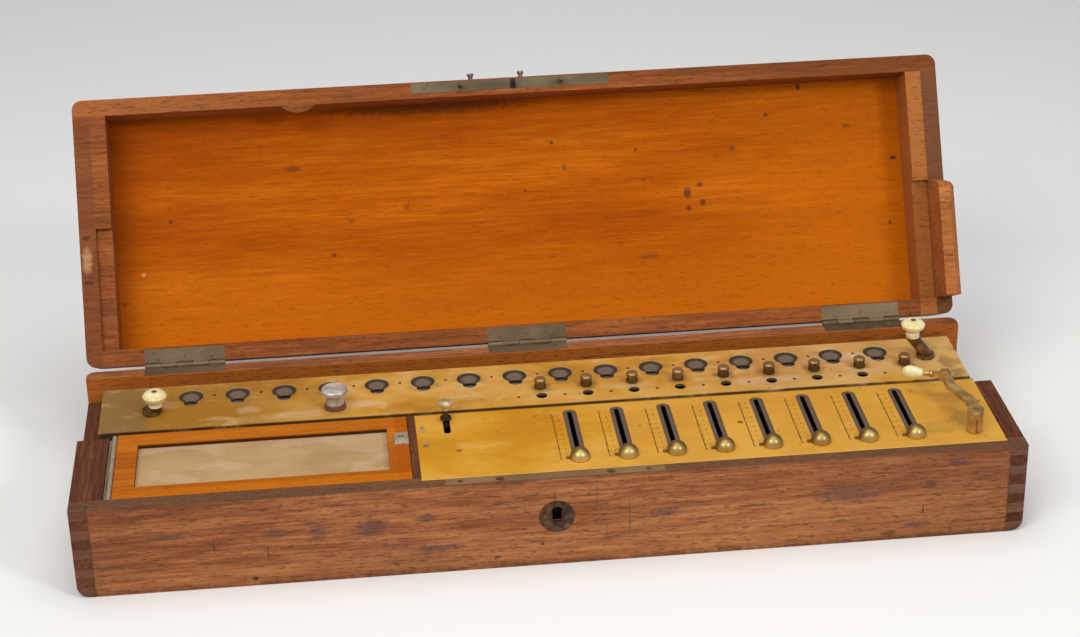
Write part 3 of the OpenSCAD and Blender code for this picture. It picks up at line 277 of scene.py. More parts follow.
lidMarks = [
    # The first mark is a painted shadow under the far rail; the rest are stains and spots
    (-54, 168, 86, 9, (0.125, 0.036, 0.006), 0.75), (-150, 129, 8, 2.5, soot, 0.55),
    (-234, 98, 2.2, 2, soot, 0.6), (-125, 69, 2.4, 1.8, soot, 0.6), (-112, 91, 3, 2, soot, 0.5),
    (-254, 63, 1.8, 1.8, (0.650, 0.330, 0.150), 0.8), (28, 137, 2, 2, soot, 0.75),
    (86, 129, 1.8, 1.8, soot, 0.75), (36, 119, 2.2, 3, soot, 0.5), (8, 105, 2, 1.5, soot, 0.6),
    (91, 55, 9, 3, soot, 0.35), (120, 97, 3.4, 5, soot, 0.75), (129, 102, 3, 2.2, soot, 0.7),
    (130, 90, 3, 3, soot, 0.75), (120, 86, 2.6, 2.4, soot, 0.7), (265, 113, 3.4, 1.8, soot, 0.85),
    (202, 166, 2, 3, soot, 0.8), (178, 148, 2, 1.5, soot, 0.7), (153, 126, 3, 2.4, soot, 0.5),
    (260, 68, 1.6, 1.8, soot, 0.7), (234, 137, 4, 1.6, soot, 0.45),
]
lidPanelLook = dict(caseWoodLook, shift=9.0, figureWaves=20, figure=0.62, streak=0.16, pore=0.34, dent=0.45,
                    stain=0.25, rough=0.50, relief=0.12, shine=0.04, grime=[],
                    # Painted light and shade: the panel is lighter towards the hinge and to the right, with a
                    # painted shadow of the left rail along its left edge
                    zones=[([("v", 0.085, 0.015)], (0.690, 0.185, 0.004), 0.55),
                           ([("x", 0.090, 0.250)], (0.640, 0.172, 0.004), 0.40),
                           ([("x", -0.236, -0.272)], (0.240, 0.040, 0.001), 0.40)],
                    tones=[(0.0, (0.345, 0.061, 0.001)), (0.4, (0.432, 0.086, 0.001)),
                           (0.7, (0.500, 0.110, 0.002)), (1.0, (0.610, 0.160, 0.005))],
                    stainColour=(0.420, 0.076, 0.001), poreColour=(0.200, 0.034, 0.001), markAxes="xv",
                    marks=lidMarks,
                    cover=[([("w", panelIn + 1.0 * mm, panelIn + 1.6 * mm)], (0.235, 0.076, 0.026), 0.88)])
sheetLow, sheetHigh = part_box("tablet_sheet")
tabletWoodLook = dict(lidPanelLook, shift=12.0, figureWaves=60, markAxes="xz", marks=[], cover=[], shine=0.06,
                      tones=[(0.0, (0.340, 0.086, 0.005)), (0.45, (0.450, 0.122, 0.008)),
                             (1.0, (0.570, 0.172, 0.014))],
                      zones=[([("x", sheetHigh.x, sheetHigh.x + 2 * mm)], (0.400, 0.076, 0.003), 0.55),
                             ([("y", sheetLow.y, sheetLow.y - 2 * mm)], (0.640, 0.175, 0.006), 0.45),
                             # Painted shade: the frame's inner walls below its top face are near black, where
                             # the sheet's recess lies in shade
                             ([("z", 0.0602, 0.0594)], (0.026, 0.012, 0.006), 0.92)])


# Brass under wear: tarnish in patches, pale smears, fine scratches; painted shade where it is sunk below a
# height, and in some looks painted light or shade in its zones and marks
def makeBrass(name, look):
    f = Finish(name)
    shift = look.get("shift", 0.0)
    patch = f.noise(look.get("waves", (14, 22, 22)), 5.0, 0.6, shift)
    smear = f.noise(look.get("smearWaves", (34, 70, 70)), 5.0, 0.65, shift + 4)
    smear = f.step(smear, look["smearLow"], look["smearLow"] + 0.2)
    scratch = f.noise((30, 1500, 1500), 2.0, 0.6, 9.0)
    speck = f.step(f.noise((240, 240, 240), 2.0, 0.5, 13.0), 0.69, 0.76)
    rag = (patch - 0.5) * 0.10
    fray = (f.noise((110, 150, 150), 5.0, 0.65, shift + 20) - 0.5) * 3.0
    colour = f.ramp(f.step(patch, 0.32, 0.70), look["tones"])
    for spans, shade, amount, ragged in look.get("zones", []):
        colour = f.mix(f.zone(spans, rag * ragged) * amount, colour, shade)
    for first, pitch, row, half, shade, amount in look.get("halos", []):
        ring = f.maths("PINGPONG", f.x - first, pitch / 2)
        halo = f.patch([(ring, 0.0, half), (f.y, row, half)], fray, 0.9)
        begun = f.step(f.x, first - pitch / 2, first - pitch / 2.1)
        colour = f.mix(halo * begun * amount, colour, shade)
    colour = f.mix(smear * look["smear"], colour, look["smearColour"])
    colour = f.mix(speck * 0.55, colour, look["dark"])
    colour = f.mix(f.step(scratch, 0.55, 0.75) * 0.16, colour, look["dark"])
    for x, y, halfX, halfY, shade, amount in look.get("marks", []):
        spot = f.patch([(f.x, x * mm, halfX * mm), (f.y, y * mm, halfY * mm)], fray, 0.9)
        colour = f.mix(spot * amount, colour, shade)
    metal = look["metal"] - smear * look["smear"] * 0.3
    # Painted shade: recesses below a height take a darker, less metallic colour
    for low, high, shade in look.get("sunk", []):
        sunk = f.zone([("z", high, low)] + look.get("within", []))
        colour = f.mix(sunk, colour, shade)
        metal = metal * (1.0 - sunk * 0.6)
    return f.done(f.surface({
        "Base Color": colour, "Metallic": metal, "Roughness": look["rough"] + patch * 0.16 + smear * 0.10,
        "Specular IOR Level": 0.25, "Normal": f.bump(scratch * 0.4 + patch * 0.6, 0.10, 0.0003),
    }))


plateTop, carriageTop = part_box("input_plate")[1].z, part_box("carriage_plate")[1].z
dialLow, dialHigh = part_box("result_dials")
dialCount, counterCount, slotCount = 16, 9, 8
dialRadius = (dialHigh.y - dialLow.y) / 2
dialPitch = (dialHigh.x - dialLow.x - 2 * dialRadius) / (dialCount - 1)
dialX0, dialMid = dialLow.x + dialRadius, (dialLow.y + dialHigh.y) / 2
# gapShade is painted shade for gaps between parts and for holes
olive, gapShade = (0.170, 0.100, 0.030), (0.060, 0.030, 0.010)
counterAt = Vector(joints["counter_1_turn"]["pos_m"])
plateRear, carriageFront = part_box("input_plate")[1].y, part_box("carriage_plate")[0].y
plateBrassLook = {
    "tones": even((0.650, 0.290, 0.013), (0.750, 0.365, 0.025), (0.820, 0.440, 0.062)),
    # Painted light: the right part is lighter and a painted highlight runs along the front edge; painted
    # shade in the gap at the far edge
    "zones": [([("x", 0.0, 0.060)], (0.840, 0.470, 0.090), 0.45, 1.0),
              ([("y", -0.0795, -0.0808)], (0.900, 0.580, 0.180), 0.5, 0.0),
              ([("y", plateRear - 1.6 * mm, plateRear - 0.3 * mm)], gapShade, 0.85, 0.0)],
    "marks": [(-77, -17, 2.6, 6, (0.420, 0.350, 0.170), 0.7), (-77, -16, 1.3, 2, gapShade, 0.8),
              (-76, -37, 5, 2.4, (0.400, 0.330, 0.160), 0.7), (264, -50, 13, 13, (0.420, 0.240, 0.050), 0.6),
              (244, -60, 14, 11, (0.480, 0.270, 0.050), 0.5), (258, -22, 13, 9, (0.500, 0.290, 0.060), 0.4)],
    "smear": 0.40, "smearLow": 0.56, "smearColour": (0.780, 0.480, 0.150), "dark": (0.250, 0.120, 0.020),
    "rough": 0.42, "metal": 0.30,
    # Painted shade: the groove floor is darker grey-brown and the slot walls below it are near black
    "sunk": [(plateTop - 0.5 * mm, plateTop - 0.2 * mm, (0.135, 0.098, 0.072)),
             (plateTop - 1.1 * mm, plateTop - 0.75 * mm, (0.012, 0.009, 0.008))],
}
carriageBrassLook = {
    "tones": even((0.520, 0.235, 0.020), (0.690, 0.365, 0.058), (0.780, 0.470, 0.120)),
    "zones": [([("x", -0.090, -0.200)], (0.385, 0.178, 0.020), 0.85, 1.0),
              ([("x", 0.080, 0.180)], (0.740, 0.470, 0.190), 0.55, 1.0),
              ([("x", -0.2470, -0.2545)], (0.270, 0.160, 0.055), 0.70, 0.1),
              # Painted shade along the front edge, in the gap to the input plate
              ([("y", carriageFront + 1.4 * mm, carriageFront + 0.5 * mm)], gapShade, 0.9, 0.0)],
    "smear": 0.60, "smearLow": 0.50, "smearColour": (0.700, 0.450, 0.215), "dark": (0.210, 0.110, 0.030),
    "rough": 0.44, "metal": 0.30, "shift": 3.0,
    "halos": [(dialX0, dialPitch, dialMid + 13 * mm, 14 * mm, (0.360, 0.210, 0.070), 0.45),
              (counterAt.x, dialPitch, counterAt.y, 9 * mm, (0.260, 0.130, 0.035), 0.60)],
    "marks": [(-150, 12, 22, 6, (0.700, 0.460, 0.260), 0.55), (-186, 22, 9, 6, (0.680, 0.430, 0.250), 0.55),
              (-118, 20, 18, 5, (0.720, 0.500, 0.300), 0.6), (150, 16, 30, 6, (0.740, 0.500, 0.300), 0.6),
              (205, 42, 26, 7, (0.740, 0.500, 0.290), 0.6), (60, 22, 22, 5, (0.740, 0.470, 0.230), 0.5),
              (-225, 40, 9, 14, (0.430, 0.185, 0.010), 0.8), (-130, 45, 5, 12, (0.430, 0.185, 0.010), 0.6),
              (272, 8, 10, 12, olive, 0.55), (236, 8, 30, 8, (0.720, 0.360, 0.020), 0.7)],
    # Painted shade in the dishes: a near-black rim and a darker grey-brown floor
    "sunk": [(carriageTop - 0.40 * mm, carriageTop - 0.12 * mm, (0.046, 0.035, 0.026)),
             (carriageTop - 1.35 * mm, carriageTop - 0.75 * mm, (0.165, 0.124, 0.086))],
    "within": [("y", 4.5 * mm, 5 * mm), ("y", 58.5 * mm, 58 * mm), ("x", -274 * mm, -272 * mm),
               ("x", 274 * mm, 272 * mm)],
}
brightBrassLook = {
    "tones": even((0.560, 0.290, 0.060), (0.720, 0.420, 0.110), (0.840, 0.560, 0.200)),
    "smear": 0.3, "smearLow": 0.56, "smearColour": (0.560, 0.370, 0.140), "dark": (0.160, 0.080, 0.020),
    "rough": 0.26, "metal": 0.90, "shift": 6.0,
}
sliderY = joints["crank_turn"]["pos_m"][1]
sliderBrassLook = dict(brightBrassLook, shift=7.0, rough=0.32, metal=0.75, smear=0.2,
                       # Painted reflection: the rear of each knob is darker, where its dome mirrors the dark
                       # lid
                       zones=[([("y", sliderY - 4.4 * mm, sliderY - 2.0 * mm)],
                               (0.150, 0.090, 0.024), 0.70, 0.0)],
                       tones=even((0.420, 0.290, 0.090), (0.580, 0.420, 0.150), (0.720, 0.560, 0.240)))
crankBrassLook = dict(brightBrassLook, shift=9.0, rough=0.30, metal=0.55, waves=(80, 80, 80),
                      tones=even((0.300, 0.165, 0.050), (0.480, 0.290, 0.100), (0.640, 0.430, 0.180)))
dullBrassLook = {
    "tones": even((0.110, 0.074, 0.038), (0.165, 0.112, 0.060), (0.240, 0.170, 0.095)),
    "smear": 0.6, "smearLow": 0.52, "smearColour": (0.210, 0.155, 0.092), "dark": (0.050, 0.030, 0.018),
    "rough": 0.42, "metal": 0.50, "shift": 8.0,
}
stripBrassLook = dict(dullBrassLook, shift=10.0, metal=0.3,
                      tones=even((0.190, 0.110, 0.045), (0.270, 0.155, 0.066), (0.340, 0.215, 0.110)),
                      # Painted shade: below a height the lock is near black, where it is seen through the
                      # keyhole
                      zones=[([("z", 0.0580, 0.0570)], (0.004, 0.003, 0.002), 1.0, 0.0)])
bronzeLook = {
    "tones": even((0.040, 0.028, 0.019), (0.085, 0.058, 0.036), (0.150, 0.100, 0.060)),
    "smear": 0.5, "smearLow": 0.54, "smearColour": (0.120, 0.070, 0.050), "dark": (0.020, 0.014, 0.010),
    "rough": 0.40, "metal": 0.60, "shift": 11.0,
}
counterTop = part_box("counter_knob_1")[1].z
counterBrassLook = dict(bronzeLook, shift=12.0, rough=0.30, metal=0.75,
                        tones=even((0.150, 0.085, 0.030), (0.260, 0.155, 0.060), (0.400, 0.260, 0.115)),
                        # Painted highlight on the top of each knob and painted shade low on its stem
                        zones=[([("z", counterTop - 1.6 * mm, counterTop - 0.7 * mm)],
                                (0.560, 0.400, 0.200), 0.50, 0.0),
                               ([("z", counterTop - 4.4 * mm, counterTop - 5.4 * mm)],
                                (0.090, 0.050, 0.020), 0.6, 0.0)])
escutcheonLook = dict(bronzeLook, shift=13.0, waves=(130, 130, 130), smearWaves=(170, 170, 170), metal=0.4,
                      smear=0.7, smearLow=0.52, smearColour=(0.260, 0.150, 0.085),
                      tones=even((0.034, 0.016, 0.008), (0.080, 0.036, 0.018), (0.150, 0.070, 0.034)))
lidLockY = sum(corner.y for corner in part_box("lid_lock_plate")) / 2
lidLockLook = dict(dullBrassLook, shift=16.0, marks=[(2, lidLockY / mm, 2.6, 60, (0.012, 0.008, 0.006), 1.0)],
                   tones=even((0.088, 0.066, 0.036), (0.132, 0.100, 0.056), (0.195, 0.150, 0.088)))
paleStripLook = dict(dullBrassLook, shift=17.0, metal=0.3,
                     tones=even((0.340, 0.270, 0.180), (0.480, 0.390, 0.270), (0.600, 0.510, 0.380)))
leafBrassLook = dict(dullBrassLook, shift=20.0, zones=[([("y", 0.02, 0.0)], (0.480, 0.390, 0.270), 0.9, 0.0)])
pullMid = sum(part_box("tablet_pull"), Vector()) / 2 / mm
pullLook = dict(paleStripLook, shift=22.0, metal=0.5, rough=0.34,
                # The pull's mark is a painted shade for the hole in its middle
                marks=[(pullMid.x, pullMid.y, 2.2, 2.2, gapShade, 0.95)])
oiledBronzeLook = dict(bronzeLook, shift=19.0, metal=0.4, rough=0.5, smear=0.2,
                       smearColour=(0.030, 0.022, 0.014),
                       tones=even((0.008, 0.006, 0.004), (0.018, 0.013, 0.008), (0.040, 0.028, 0.016)))
steelLook = {
    "tones": even((0.150, 0.128, 0.100), (0.260, 0.230, 0.185), (0.360, 0.325, 0.275)),
    "smear": 0.4, "smearLow": 0.54, "smearColour": (0.220, 0.170, 0.110), "dark": (0.060, 0.045, 0.030),
    "rough": 0.36, "metal": 0.70, "shift": 15.0,
}
dialLook = {
    "tones": even((0.140, 0.112, 0.082), (0.240, 0.195, 0.145), (0.360, 0.300, 0.230)),
    "smear": 0.5, "smearLow": 0.54, "smearColour": (0.300, 0.240, 0.160), "dark": (0.060, 0.050, 0.040),
    "rough": 0.42, "metal": 0.40, "shift": 18.0,
}


# Yellowed ivory with fine lines; short of a place along an axis it gives way to metal
def makeIvory(name, look):
    f = Finish(name)
    cloud = f.noise((90, 90, 90), 4.0, 0.6, 2.0)
    lines = f.noise((60, 60, 1300), 2.0, 0.5, 5.0)
    tones = even((0.790, 0.650, 0.300), (0.890, 0.790, 0.430), (0.940, 0.870, 0.570))
    colour = f.ramp(f.step(cloud, 0.3, 0.7), tones)
    colour = f.mix(f.step(lines, 0.55, 0.75) * 0.20, colour, (0.520, 0.370, 0.160))
    along = f.along(look["way"], look["start"])
    colour = f.mix(f.near(along, look["waist"], 0.0016) * 0.45, colour, (0.300, 0.180, 0.070))
    if "dimple" in look:
        away = f.node("ShaderNodeVectorMath", {"operation": "DISTANCE"}, {0: f.place, 1: look["dimple"]},
                      out="Value")
        colour = f.mix(f.step(away, 2.2 * mm, 1.5 * mm), colour, (0.050, 0.034, 0.020))
    ivory = f.surface({
        "Base Color": colour, "Roughness": 0.26 + cloud * 0.12, "Coat Weight": 0.2, "Coat Roughness": 0.15,
        "Subsurface Weight": 0.10, "Subsurface Radius": (0.004, 0.003, 0.002),
        "Normal": f.bump(lines, 0.06, 0.0002),
    })
    worn = f.noise((160, 160, 160), 4.0, 0.6, 7.0)
    metalColour = f.ramp(f.step(worn, 0.3, 0.7), look["metalTones"])
    metal = f.surface({"Base Color": metalColour, "Metallic": 0.85, "Roughness": 0.28 + worn * 0.2,
                       "Normal": f.bump(worn, 0.1, 0.0003)})
    share = f.step(along, -0.0001, 0.0001)
    return f.done(f.node("ShaderNodeMixShader", None, {0: share, 1: metal, 2: ivory}))


# Old paper: tan, foxed, paler where its face is torn along the far edge and at the corners
def makePaper(name):
    f = Finish(name)
    low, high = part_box("tablet_sheet")
    cloud = f.noise((16, 24, 24), 5.0, 0.6, 1.0)
    tear = f.noise((26, 44, 44), 6.0, 0.62, 21.0)
    fibre = f.noise((420, 420, 420), 3.0, 0.7, 4.0)
    spots = f.step(f.noise((150, 150, 150), 3.0, 0.5, 6.0), 0.67, 0.75)
    edge = f.step(f.y, high.y - 26 * mm, high.y - 4 * mm) * 0.13
    edge = edge + f.step(f.x, high.x - 70 * mm, high.x) * 0.05
    torn = f.step(tear + edge, 0.575, 0.640)
    tones = even((0.400, 0.240, 0.100), (0.475, 0.292, 0.130), (0.535, 0.342, 0.160))
    colour = f.ramp(f.step(cloud, 0.3, 0.7), tones)
    colour = f.mix(torn * 0.28, colour, (0.640, 0.460, 0.300))
    colour = f.mix(f.near(tear + edge, 0.600, 0.022) * 0.22, colour, (0.360, 0.230, 0.110))
    colour = f.mix(spots * 0.30, colour, (0.280, 0.170, 0.080))
    colour = f.mix(f.step(fibre, 0.5, 0.8) * 0.15, colour, (0.640, 0.500, 0.330))
    return f.done(f.surface({"Base Color": colour, "Roughness": 0.66 + fibre * 0.2, "Specular IOR Level": 0.2,
                             "Normal": f.bump(fibre * 0.4 + torn * 0.6, 0.3, 0.0003)}))


# A turned knob whose foot has another colour than its top, parted by height
def makeTurned(name, look):
    f = Finish(name)
    worn = f.noise((150, 150, 150), 4.0, 0.6, 3.0)
    colour = f.ramp(f.step(worn, 0.3, 0.72), look["tones"])
    colour = f.mix(f.step(f.z, look["footTop"] + 0.0006, look["footTop"]), colour, look["foot"])
    return f.done(f.surface({"Base Color": colour, "Metallic": look["metal"], "Roughness": 0.28 + worn * 0.16,
                             "Normal": f.bump(worn, 0.1, 0.0003)}))


# Filling of engraved figures and lines, from dark to light where it is worn
def makeEngraving(name, dark, light):
    f = Finish(name)
    worn = f.noise((260, 260, 260), 3.0, 0.6, 2.0)
    colour = f.ramp(f.step(worn, 0.35, 0.75), [(0.0, dark), (1.0, light)])
    return f.done(f.surface({"Base Color": colour, "Roughness": 0.5 + worn * 0.3, "Specular IOR Level": 0.2}))


handleJoint, handleAxis = (Vector(joints["handle_fold"][key]) for key in ("pos_m", "axis"))
handleWay = handleAxis.cross(Vector((0, 0, -1)))
up = Vector((0, 0, 1))
bronzeTones = even((0.090, 0.052, 0.024), (0.180, 0.110, 0.052), (0.320, 0.210, 0.110))
brassTones = even((0.420, 0.260, 0.070), (0.620, 0.410, 0.130), (0.780, 0.560, 0.230))


# Ivory look of a turned reset knob, whose head stands off its turning axis by a reach at an angle in degrees
def knobLook(node, joint, reach, angle, deep):
    turn = math.radians(angle)
    top = Vector(joints[joint]["pos_m"]) + Vector((math.cos(turn), math.sin(turn), 0)) * reach
    top.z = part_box(node)[1].z
    return {"way": up, "start": top - up * deep, "waist": deep - 7 * mm, "dimple": top,
            "metalTones": bronzeTones}


wood = {n: makeWood(n, look) for n, look in [
    ("caseWood", caseWoodLook), ("rearWood", rearWoodLook), ("endWood", endWoodLook),
    ("innerWood", innerWoodLook), ("lidRailWood", lidRailLook), ("cheekWood", cheekWoodLook),
    ("lidPanelWood", lidPanelLook), ("tabletWood", tabletWoodLook)]}
brass = {n: makeBrass(n, look) for n, look in [
    ("plateBrass", plateBrassLook), ("carriageBrass", carriageBrassLook), ("brightBrass", brightBrassLook),
    ("sliderBrass", sliderBrassLook), ("dullBrass", dullBrassLook),
    ("counterBrass", counterBrassLook), ("crankBrass", crankBrassLook), ("stripBrass", stripBrassLook),
    ("greySteel", steelLook), ("dialSilver", dialLook), ("escutcheonBronze", escutcheonLook),
    ("lidLockBrass", lidLockLook), ("paleStrip", paleStripLook), ("leafBrass", leafBrassLook),
    ("pullBrass", pullLook), ("oiledBronze", oiledBronzeLook)]}
paper = makePaper("agedPaper")
engraving = makeEngraving("blackEngraving", (0.030, 0.020, 0.012), (0.150, 0.085, 0.030))
scaleEngraving = makeEngraving("brownEngraving", (0.150, 0.068, 0.012), (0.420, 0.200, 0.026))
liftKnob = makeTurned("nickelKnob", {
    "footTop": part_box("carriage_lift_knob")[0].z + 3 * mm, "foot": (0.210, 0.075, 0.050), "metal": 0.35,
    "tones": [(0.0, (0.380, 0.355, 0.300)), (0.6, (0.560, 0.540, 0.485)), (1.0, (0.720, 0.705, 0.660))]})
leverKnob = makeTurned("leverKnob", {
    "footTop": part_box("function_lever")[1].z - 7.4 * mm, "foot": (0.050, 0.036, 0.022), "metal": 0.4,
    "tones": [(0.0, (0.420, 0.310, 0.150)), (0.6, (0.600, 0.480, 0.270)), (1.0, (0.760, 0.660, 0.430))]})
leftIvory = makeIvory("leftIvory", knobLook("reset_knob_left", "left_reset_turn", 3 * mm, 25, 10.4 * mm))
rightIvory = makeIvory("rightIvory",
                       knobLook("reset_knob_right", "right_reset_turn", 9.3 * mm, 180, 12.2 * mm))
handleIvory = makeIvory("handleIvory", {"way": handleWay, "start": handleJoint + handleWay * 13.4 * mm,
                                        "waist": 0.0, "metalTones": brassTones})
print("finishes made:", len(bpy.data.materials))

finishes = {
    "case_front_board": wood["caseWood"], "case_rear_board": wood["rearWood"],
    "case_end_boards": wood["endWood"], "case_bottom_board": wood["innerWood"],
    "compartment_walls": wood["endWood"],
    "lid_panel": wood["lidPanelWood"], "lid_rails": wood["lidRailWood"], "lid_cheek_block": wood["cheekWood"],
    "tablet_frame": wood["tabletWood"], "tablet_sheet": paper, "tablet_pull": brass["pullBrass"],
    "tablet_hinge_leaf": brass["paleStrip"], "hinge_base_leaves": brass["leafBrass"],
    "hinge_lid_leaves": brass["dullBrass"], "box_lock": brass["stripBrass"],
    "lid_lock_plate": brass["lidLockBrass"], "keyhole_escutcheon": brass["escutcheonBronze"],
    "lock_bolt": brass["greySteel"], "input_plate": brass["plateBrass"], "plate_screws": brass["brightBrass"],
    "mechanism_frame": brass["oiledBronze"], "carriage_rail": brass["greySteel"],
    "digit_shafts": brass["oiledBronze"], "lid_studs": brass["greySteel"],
    "carriage_bushings": brass["brightBrass"], "carriage_plate": brass["carriageBrass"],
    "carriage_frame": brass["carriageBrass"], "carriage_lift_knob": liftKnob,
    "result_dials": brass["dialSilver"],
    "reset_knob_left": leftIvory, "reset_knob_right": rightIvory, "crank_arm": brass["crankBrass"],
    "crank_handle": handleIvory, "main_shaft": brass["greySteel"], "function_lever": leverKnob,
}
for name, node in nodes.items():
    family = name.rsplit("_", 1)[0]
    byFamily = {"counter_knob": "counterBrass", "stepped_drum": "oiledBronze", "slider": "sliderBrass"}
    node.data.materials.clear()
    node.data.materials.append(finishes.get(name) or brass[byFamily[family]])

# Worn edges: a small rounding in millimetres on each sharp edge of the solids
wear = {"merge": 0.005 * mm, "flat": 0.5, "sharp": 38, "small": 0.25, "segments": 2}
rounding = {"case_front_board": 0.9, "case_rear_board": 0.9, "case_end_boards": 0.7, "lid_panel": 1.6,
            "lid_rails": 0.8, "lid_cheek_block": 1.2, "tablet_frame": 0.6, "compartment_walls": 0.6,
            "input_plate": 0.15, "carriage_plate": 0.25, "tablet_pull": 0.25, "lid_lock_plate": 0.2,
            "box_lock": 0.2, "keyhole_escutcheon": 0.25, "lid_studs": 0.3, "function_lever": 0.25,
            "carriage_lift_knob": 0.35, "reset_knob_left": 0.4, "reset_knob_right": 0.4, "crank_arm": 0.4}
for name, node in nodes.items():
    width = rounding.get(name) or (wear["small"] if name.startswith(("counter_knob", "slider")) else None)
    if width:
        weld = node.modifiers.new("weld", "WELD")
        weld.merge_threshold = wear["merge"]
        flat = node.modifiers.new("flat", "DECIMATE")
        flat.decimate_type = "DISSOLVE"
        flat.angle_limit = math.radians(wear["flat"])
        edge = node.modifiers.new("edge", "BEVEL")
        edge.width = width * mm
        edge.segments = wear["segments"]
        edge.limit_method = "ANGLE"
        edge.angle_limit = math.radians(wear["sharp"])
        edge.use_clamp_overlap = True
        edge.harden_normals = False
print("edges rounded")


# A mesh piece from a bmesh, riding on a body
def addPiece(name, mesh, material, body):
    data = bpy.data.meshes.new(name)
    mesh.to_mesh(data)
    mesh.free()
    data.materials.append(material)
    piece = bpy.data.objects.new(name, data)
    bpy.context.scene.collection.objects.link(piece)
    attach(piece, body)
    return piece


# Outlines of the ten figures, flat in XY, centred, one unit high
def figureMeshes():
    outlines = []
    for digit in range(10):
        text = bpy.data.curves.new("figure", "FONT")
        text.body = str(digit)
        text.resolution_u = 3
        text.align_x = "CENTER"
        text.align_y = "CENTER"
        holder = bpy.data.objects.new("figure", text)
        bpy.context.scene.collection.objects.link(holder)
        bpy.context.view_layer.update()
        outlines.append(bpy.data.meshes.new_from_object(holder))
        bpy.data.objects.remove(holder)
        bpy.data.curves.remove(text)
    return outlines


figures = figureMeshes()


def addFigure(mesh, digit, place, turn, height):
    start = len(mesh.verts)
    mesh.from_mesh(figures[digit])
    mesh.verts.ensure_lookup_table()
    move = Matrix.Translation(place) @ Matrix.Rotation(turn, 4, "Z") @ Matrix.Scale(height, 4)
    bmesh.ops.transform(mesh, matrix=move, verts=mesh.verts[start:])


# A thin bar lying on a face, between two corners
def addBar(mesh, low, high):
    made = bmesh.ops.create_cube(mesh, size=1.0)["verts"]
    low, high = Vector(low), Vector(high)
    size = high - low
    move = Matrix.Translation((low + high) / 2) @ Matrix.Diagonal((*size, 1))
    bmesh.ops.transform(mesh, matrix=move, verts=made)


# Figures round the result dials and the counter dials
dialFigures = {"rise": 0.03 * mm, "height": 4.4 * mm, "radius": 11.6 * mm, "step": 36,
               "counterHeight": 4.6 * mm, "counterRadius": 10.6 * mm, "counterDrop": 2.2 * mm}
dialTop = dialHigh.z + dialFigures["rise"]
mesh = bmesh.new()
for i in range(dialCount):
    middle = Vector((dialX0 + i * dialPitch, dialMid, dialTop))
    for digit in range(10):
        turn = math.radians(-dialFigures["step"] * digit)
        out = Vector((-math.sin(turn), math.cos(turn), 0)) * dialFigures["radius"]
        addFigure(mesh, digit, middle + out, turn, dialFigures["height"])
addPiece("resultDialFigures", mesh, engraving, "carriage")

for i in range(counterCount):
    axis = Vector(joints[f"counter_{i + 1}_turn"]["pos_m"])
    top = dialHigh.z - dialFigures["counterDrop"] + dialFigures["rise"]
    mesh = bmesh.new()
    for digit in range(10):
        turn = math.radians(180 - dialFigures["step"] * digit)
        out = Vector((-math.sin(turn), math.cos(turn), 0)) * dialFigures["counterRadius"]
        place = Vector((axis.x, axis.y, top)) + out
        addFigure(mesh, digit, place, turn + math.pi, dialFigures["counterHeight"])
    addPiece(f"counterFigures{i + 1}", mesh, engraving, f"counter_{i + 1}")
print("dial figures laid")

# Engraved scale to the left of each slot: a line, ten ticks and the figures
slotScale = {"line": 0.8 * mm, "tickLine": 0.4 * mm, "lineOff": 11.6 * mm, "figureOff": 7.6 * mm,
             "height": 3.0 * mm, "tick": 1.6 * mm, "sunk": 0.1 * mm, "below": 1 * mm, "above": 3 * mm,
             "rise": 0.02 * mm, "step": joints["input_1_slide"]["range_m"][1] / 9}
mesh = bmesh.new()
for i in range(slotCount):
    slotX = joints[f"drum_{i + 1}_turn"]["pos_m"][0]
    lineX = slotX - slotScale["lineOff"]
    z0, z1 = plateTop - slotScale["sunk"], plateTop + slotScale["rise"]
    addBar(mesh, (lineX - slotScale["line"] / 2, sliderY - slotScale["below"], z0),
           (lineX + slotScale["line"] / 2, sliderY + 9 * slotScale["step"] + slotScale["above"], z1))
    for digit in range(10):
        y = sliderY + digit * slotScale["step"]
        addBar(mesh, (lineX, y - slotScale["tickLine"] / 2, z0),
               (lineX + slotScale["tick"], y + slotScale["tickLine"] / 2, z1))
        addFigure(mesh, digit, Vector((slotX - slotScale["figureOff"], y, z1)), 0.0, slotScale["height"])
addPiece("slotScales", mesh, scaleEngraving, "case")
print("slot scales engraved")


# Screws of the hinges and of the lock's two edge plates; rings and cut in head radii, turns in radians
trimScrew = {"radius": 1.7 * mm, "sides": 20, "cut": (1.7, 0.20, 0.10), "cutHeight": 0.05,
             "rings": [(1.0, -0.20), (1.0, 0.02), (0.84, 0.06), (0.45, 0.08)], "spread": 18 * mm,
             "inset": 5.2 * mm, "middleInset": 1.6 * mm, "hingeHalf": 26.5 * mm,
             "firstTurn": 0.5, "hingeTurn": 1.3, "screwTurn": 2.1, "lidTurn": 0.7,
             "lock": [(-58 * mm, -1.22), (57 * mm, 3.38)]}


# A slotted screw in a face, almost flush: a low dome, and the cut across it in a mesh of its own
def addScrew(heads, cuts, place, facing, cutTurn):
    sides = trimScrew["sides"]
    frameTurn = facing.to_track_quat("Z", "Y").to_matrix().to_4x4() @ Matrix.Rotation(cutTurn, 4, "Z")
    toPlace = Matrix.Translation(place) @ frameTurn @ Matrix.Scale(trimScrew["radius"], 4)
    loops = []
    for scale, height in trimScrew["rings"]:
        loops.append([heads.verts.new(toPlace @ Vector((scale * math.cos(a), scale * math.sin(a), height)))
                      for a in (2 * math.pi * k / sides for k in range(sides))])
    for a, b in zip(loops, loops[1:]):
        for k in range(sides):
            heads.faces.new((a[k], a[(k + 1) % sides], b[(k + 1) % sides], b[k]))
    heads.faces.new(loops[-1])
    made = bmesh.ops.create_cube(cuts, size=1.0)["verts"]
    bmesh.ops.transform(cuts, verts=made, matrix=toPlace @ Matrix.Translation((0, 0, trimScrew["cutHeight"]))
                        @ Matrix.Diagonal((*trimScrew["cut"], 1)))


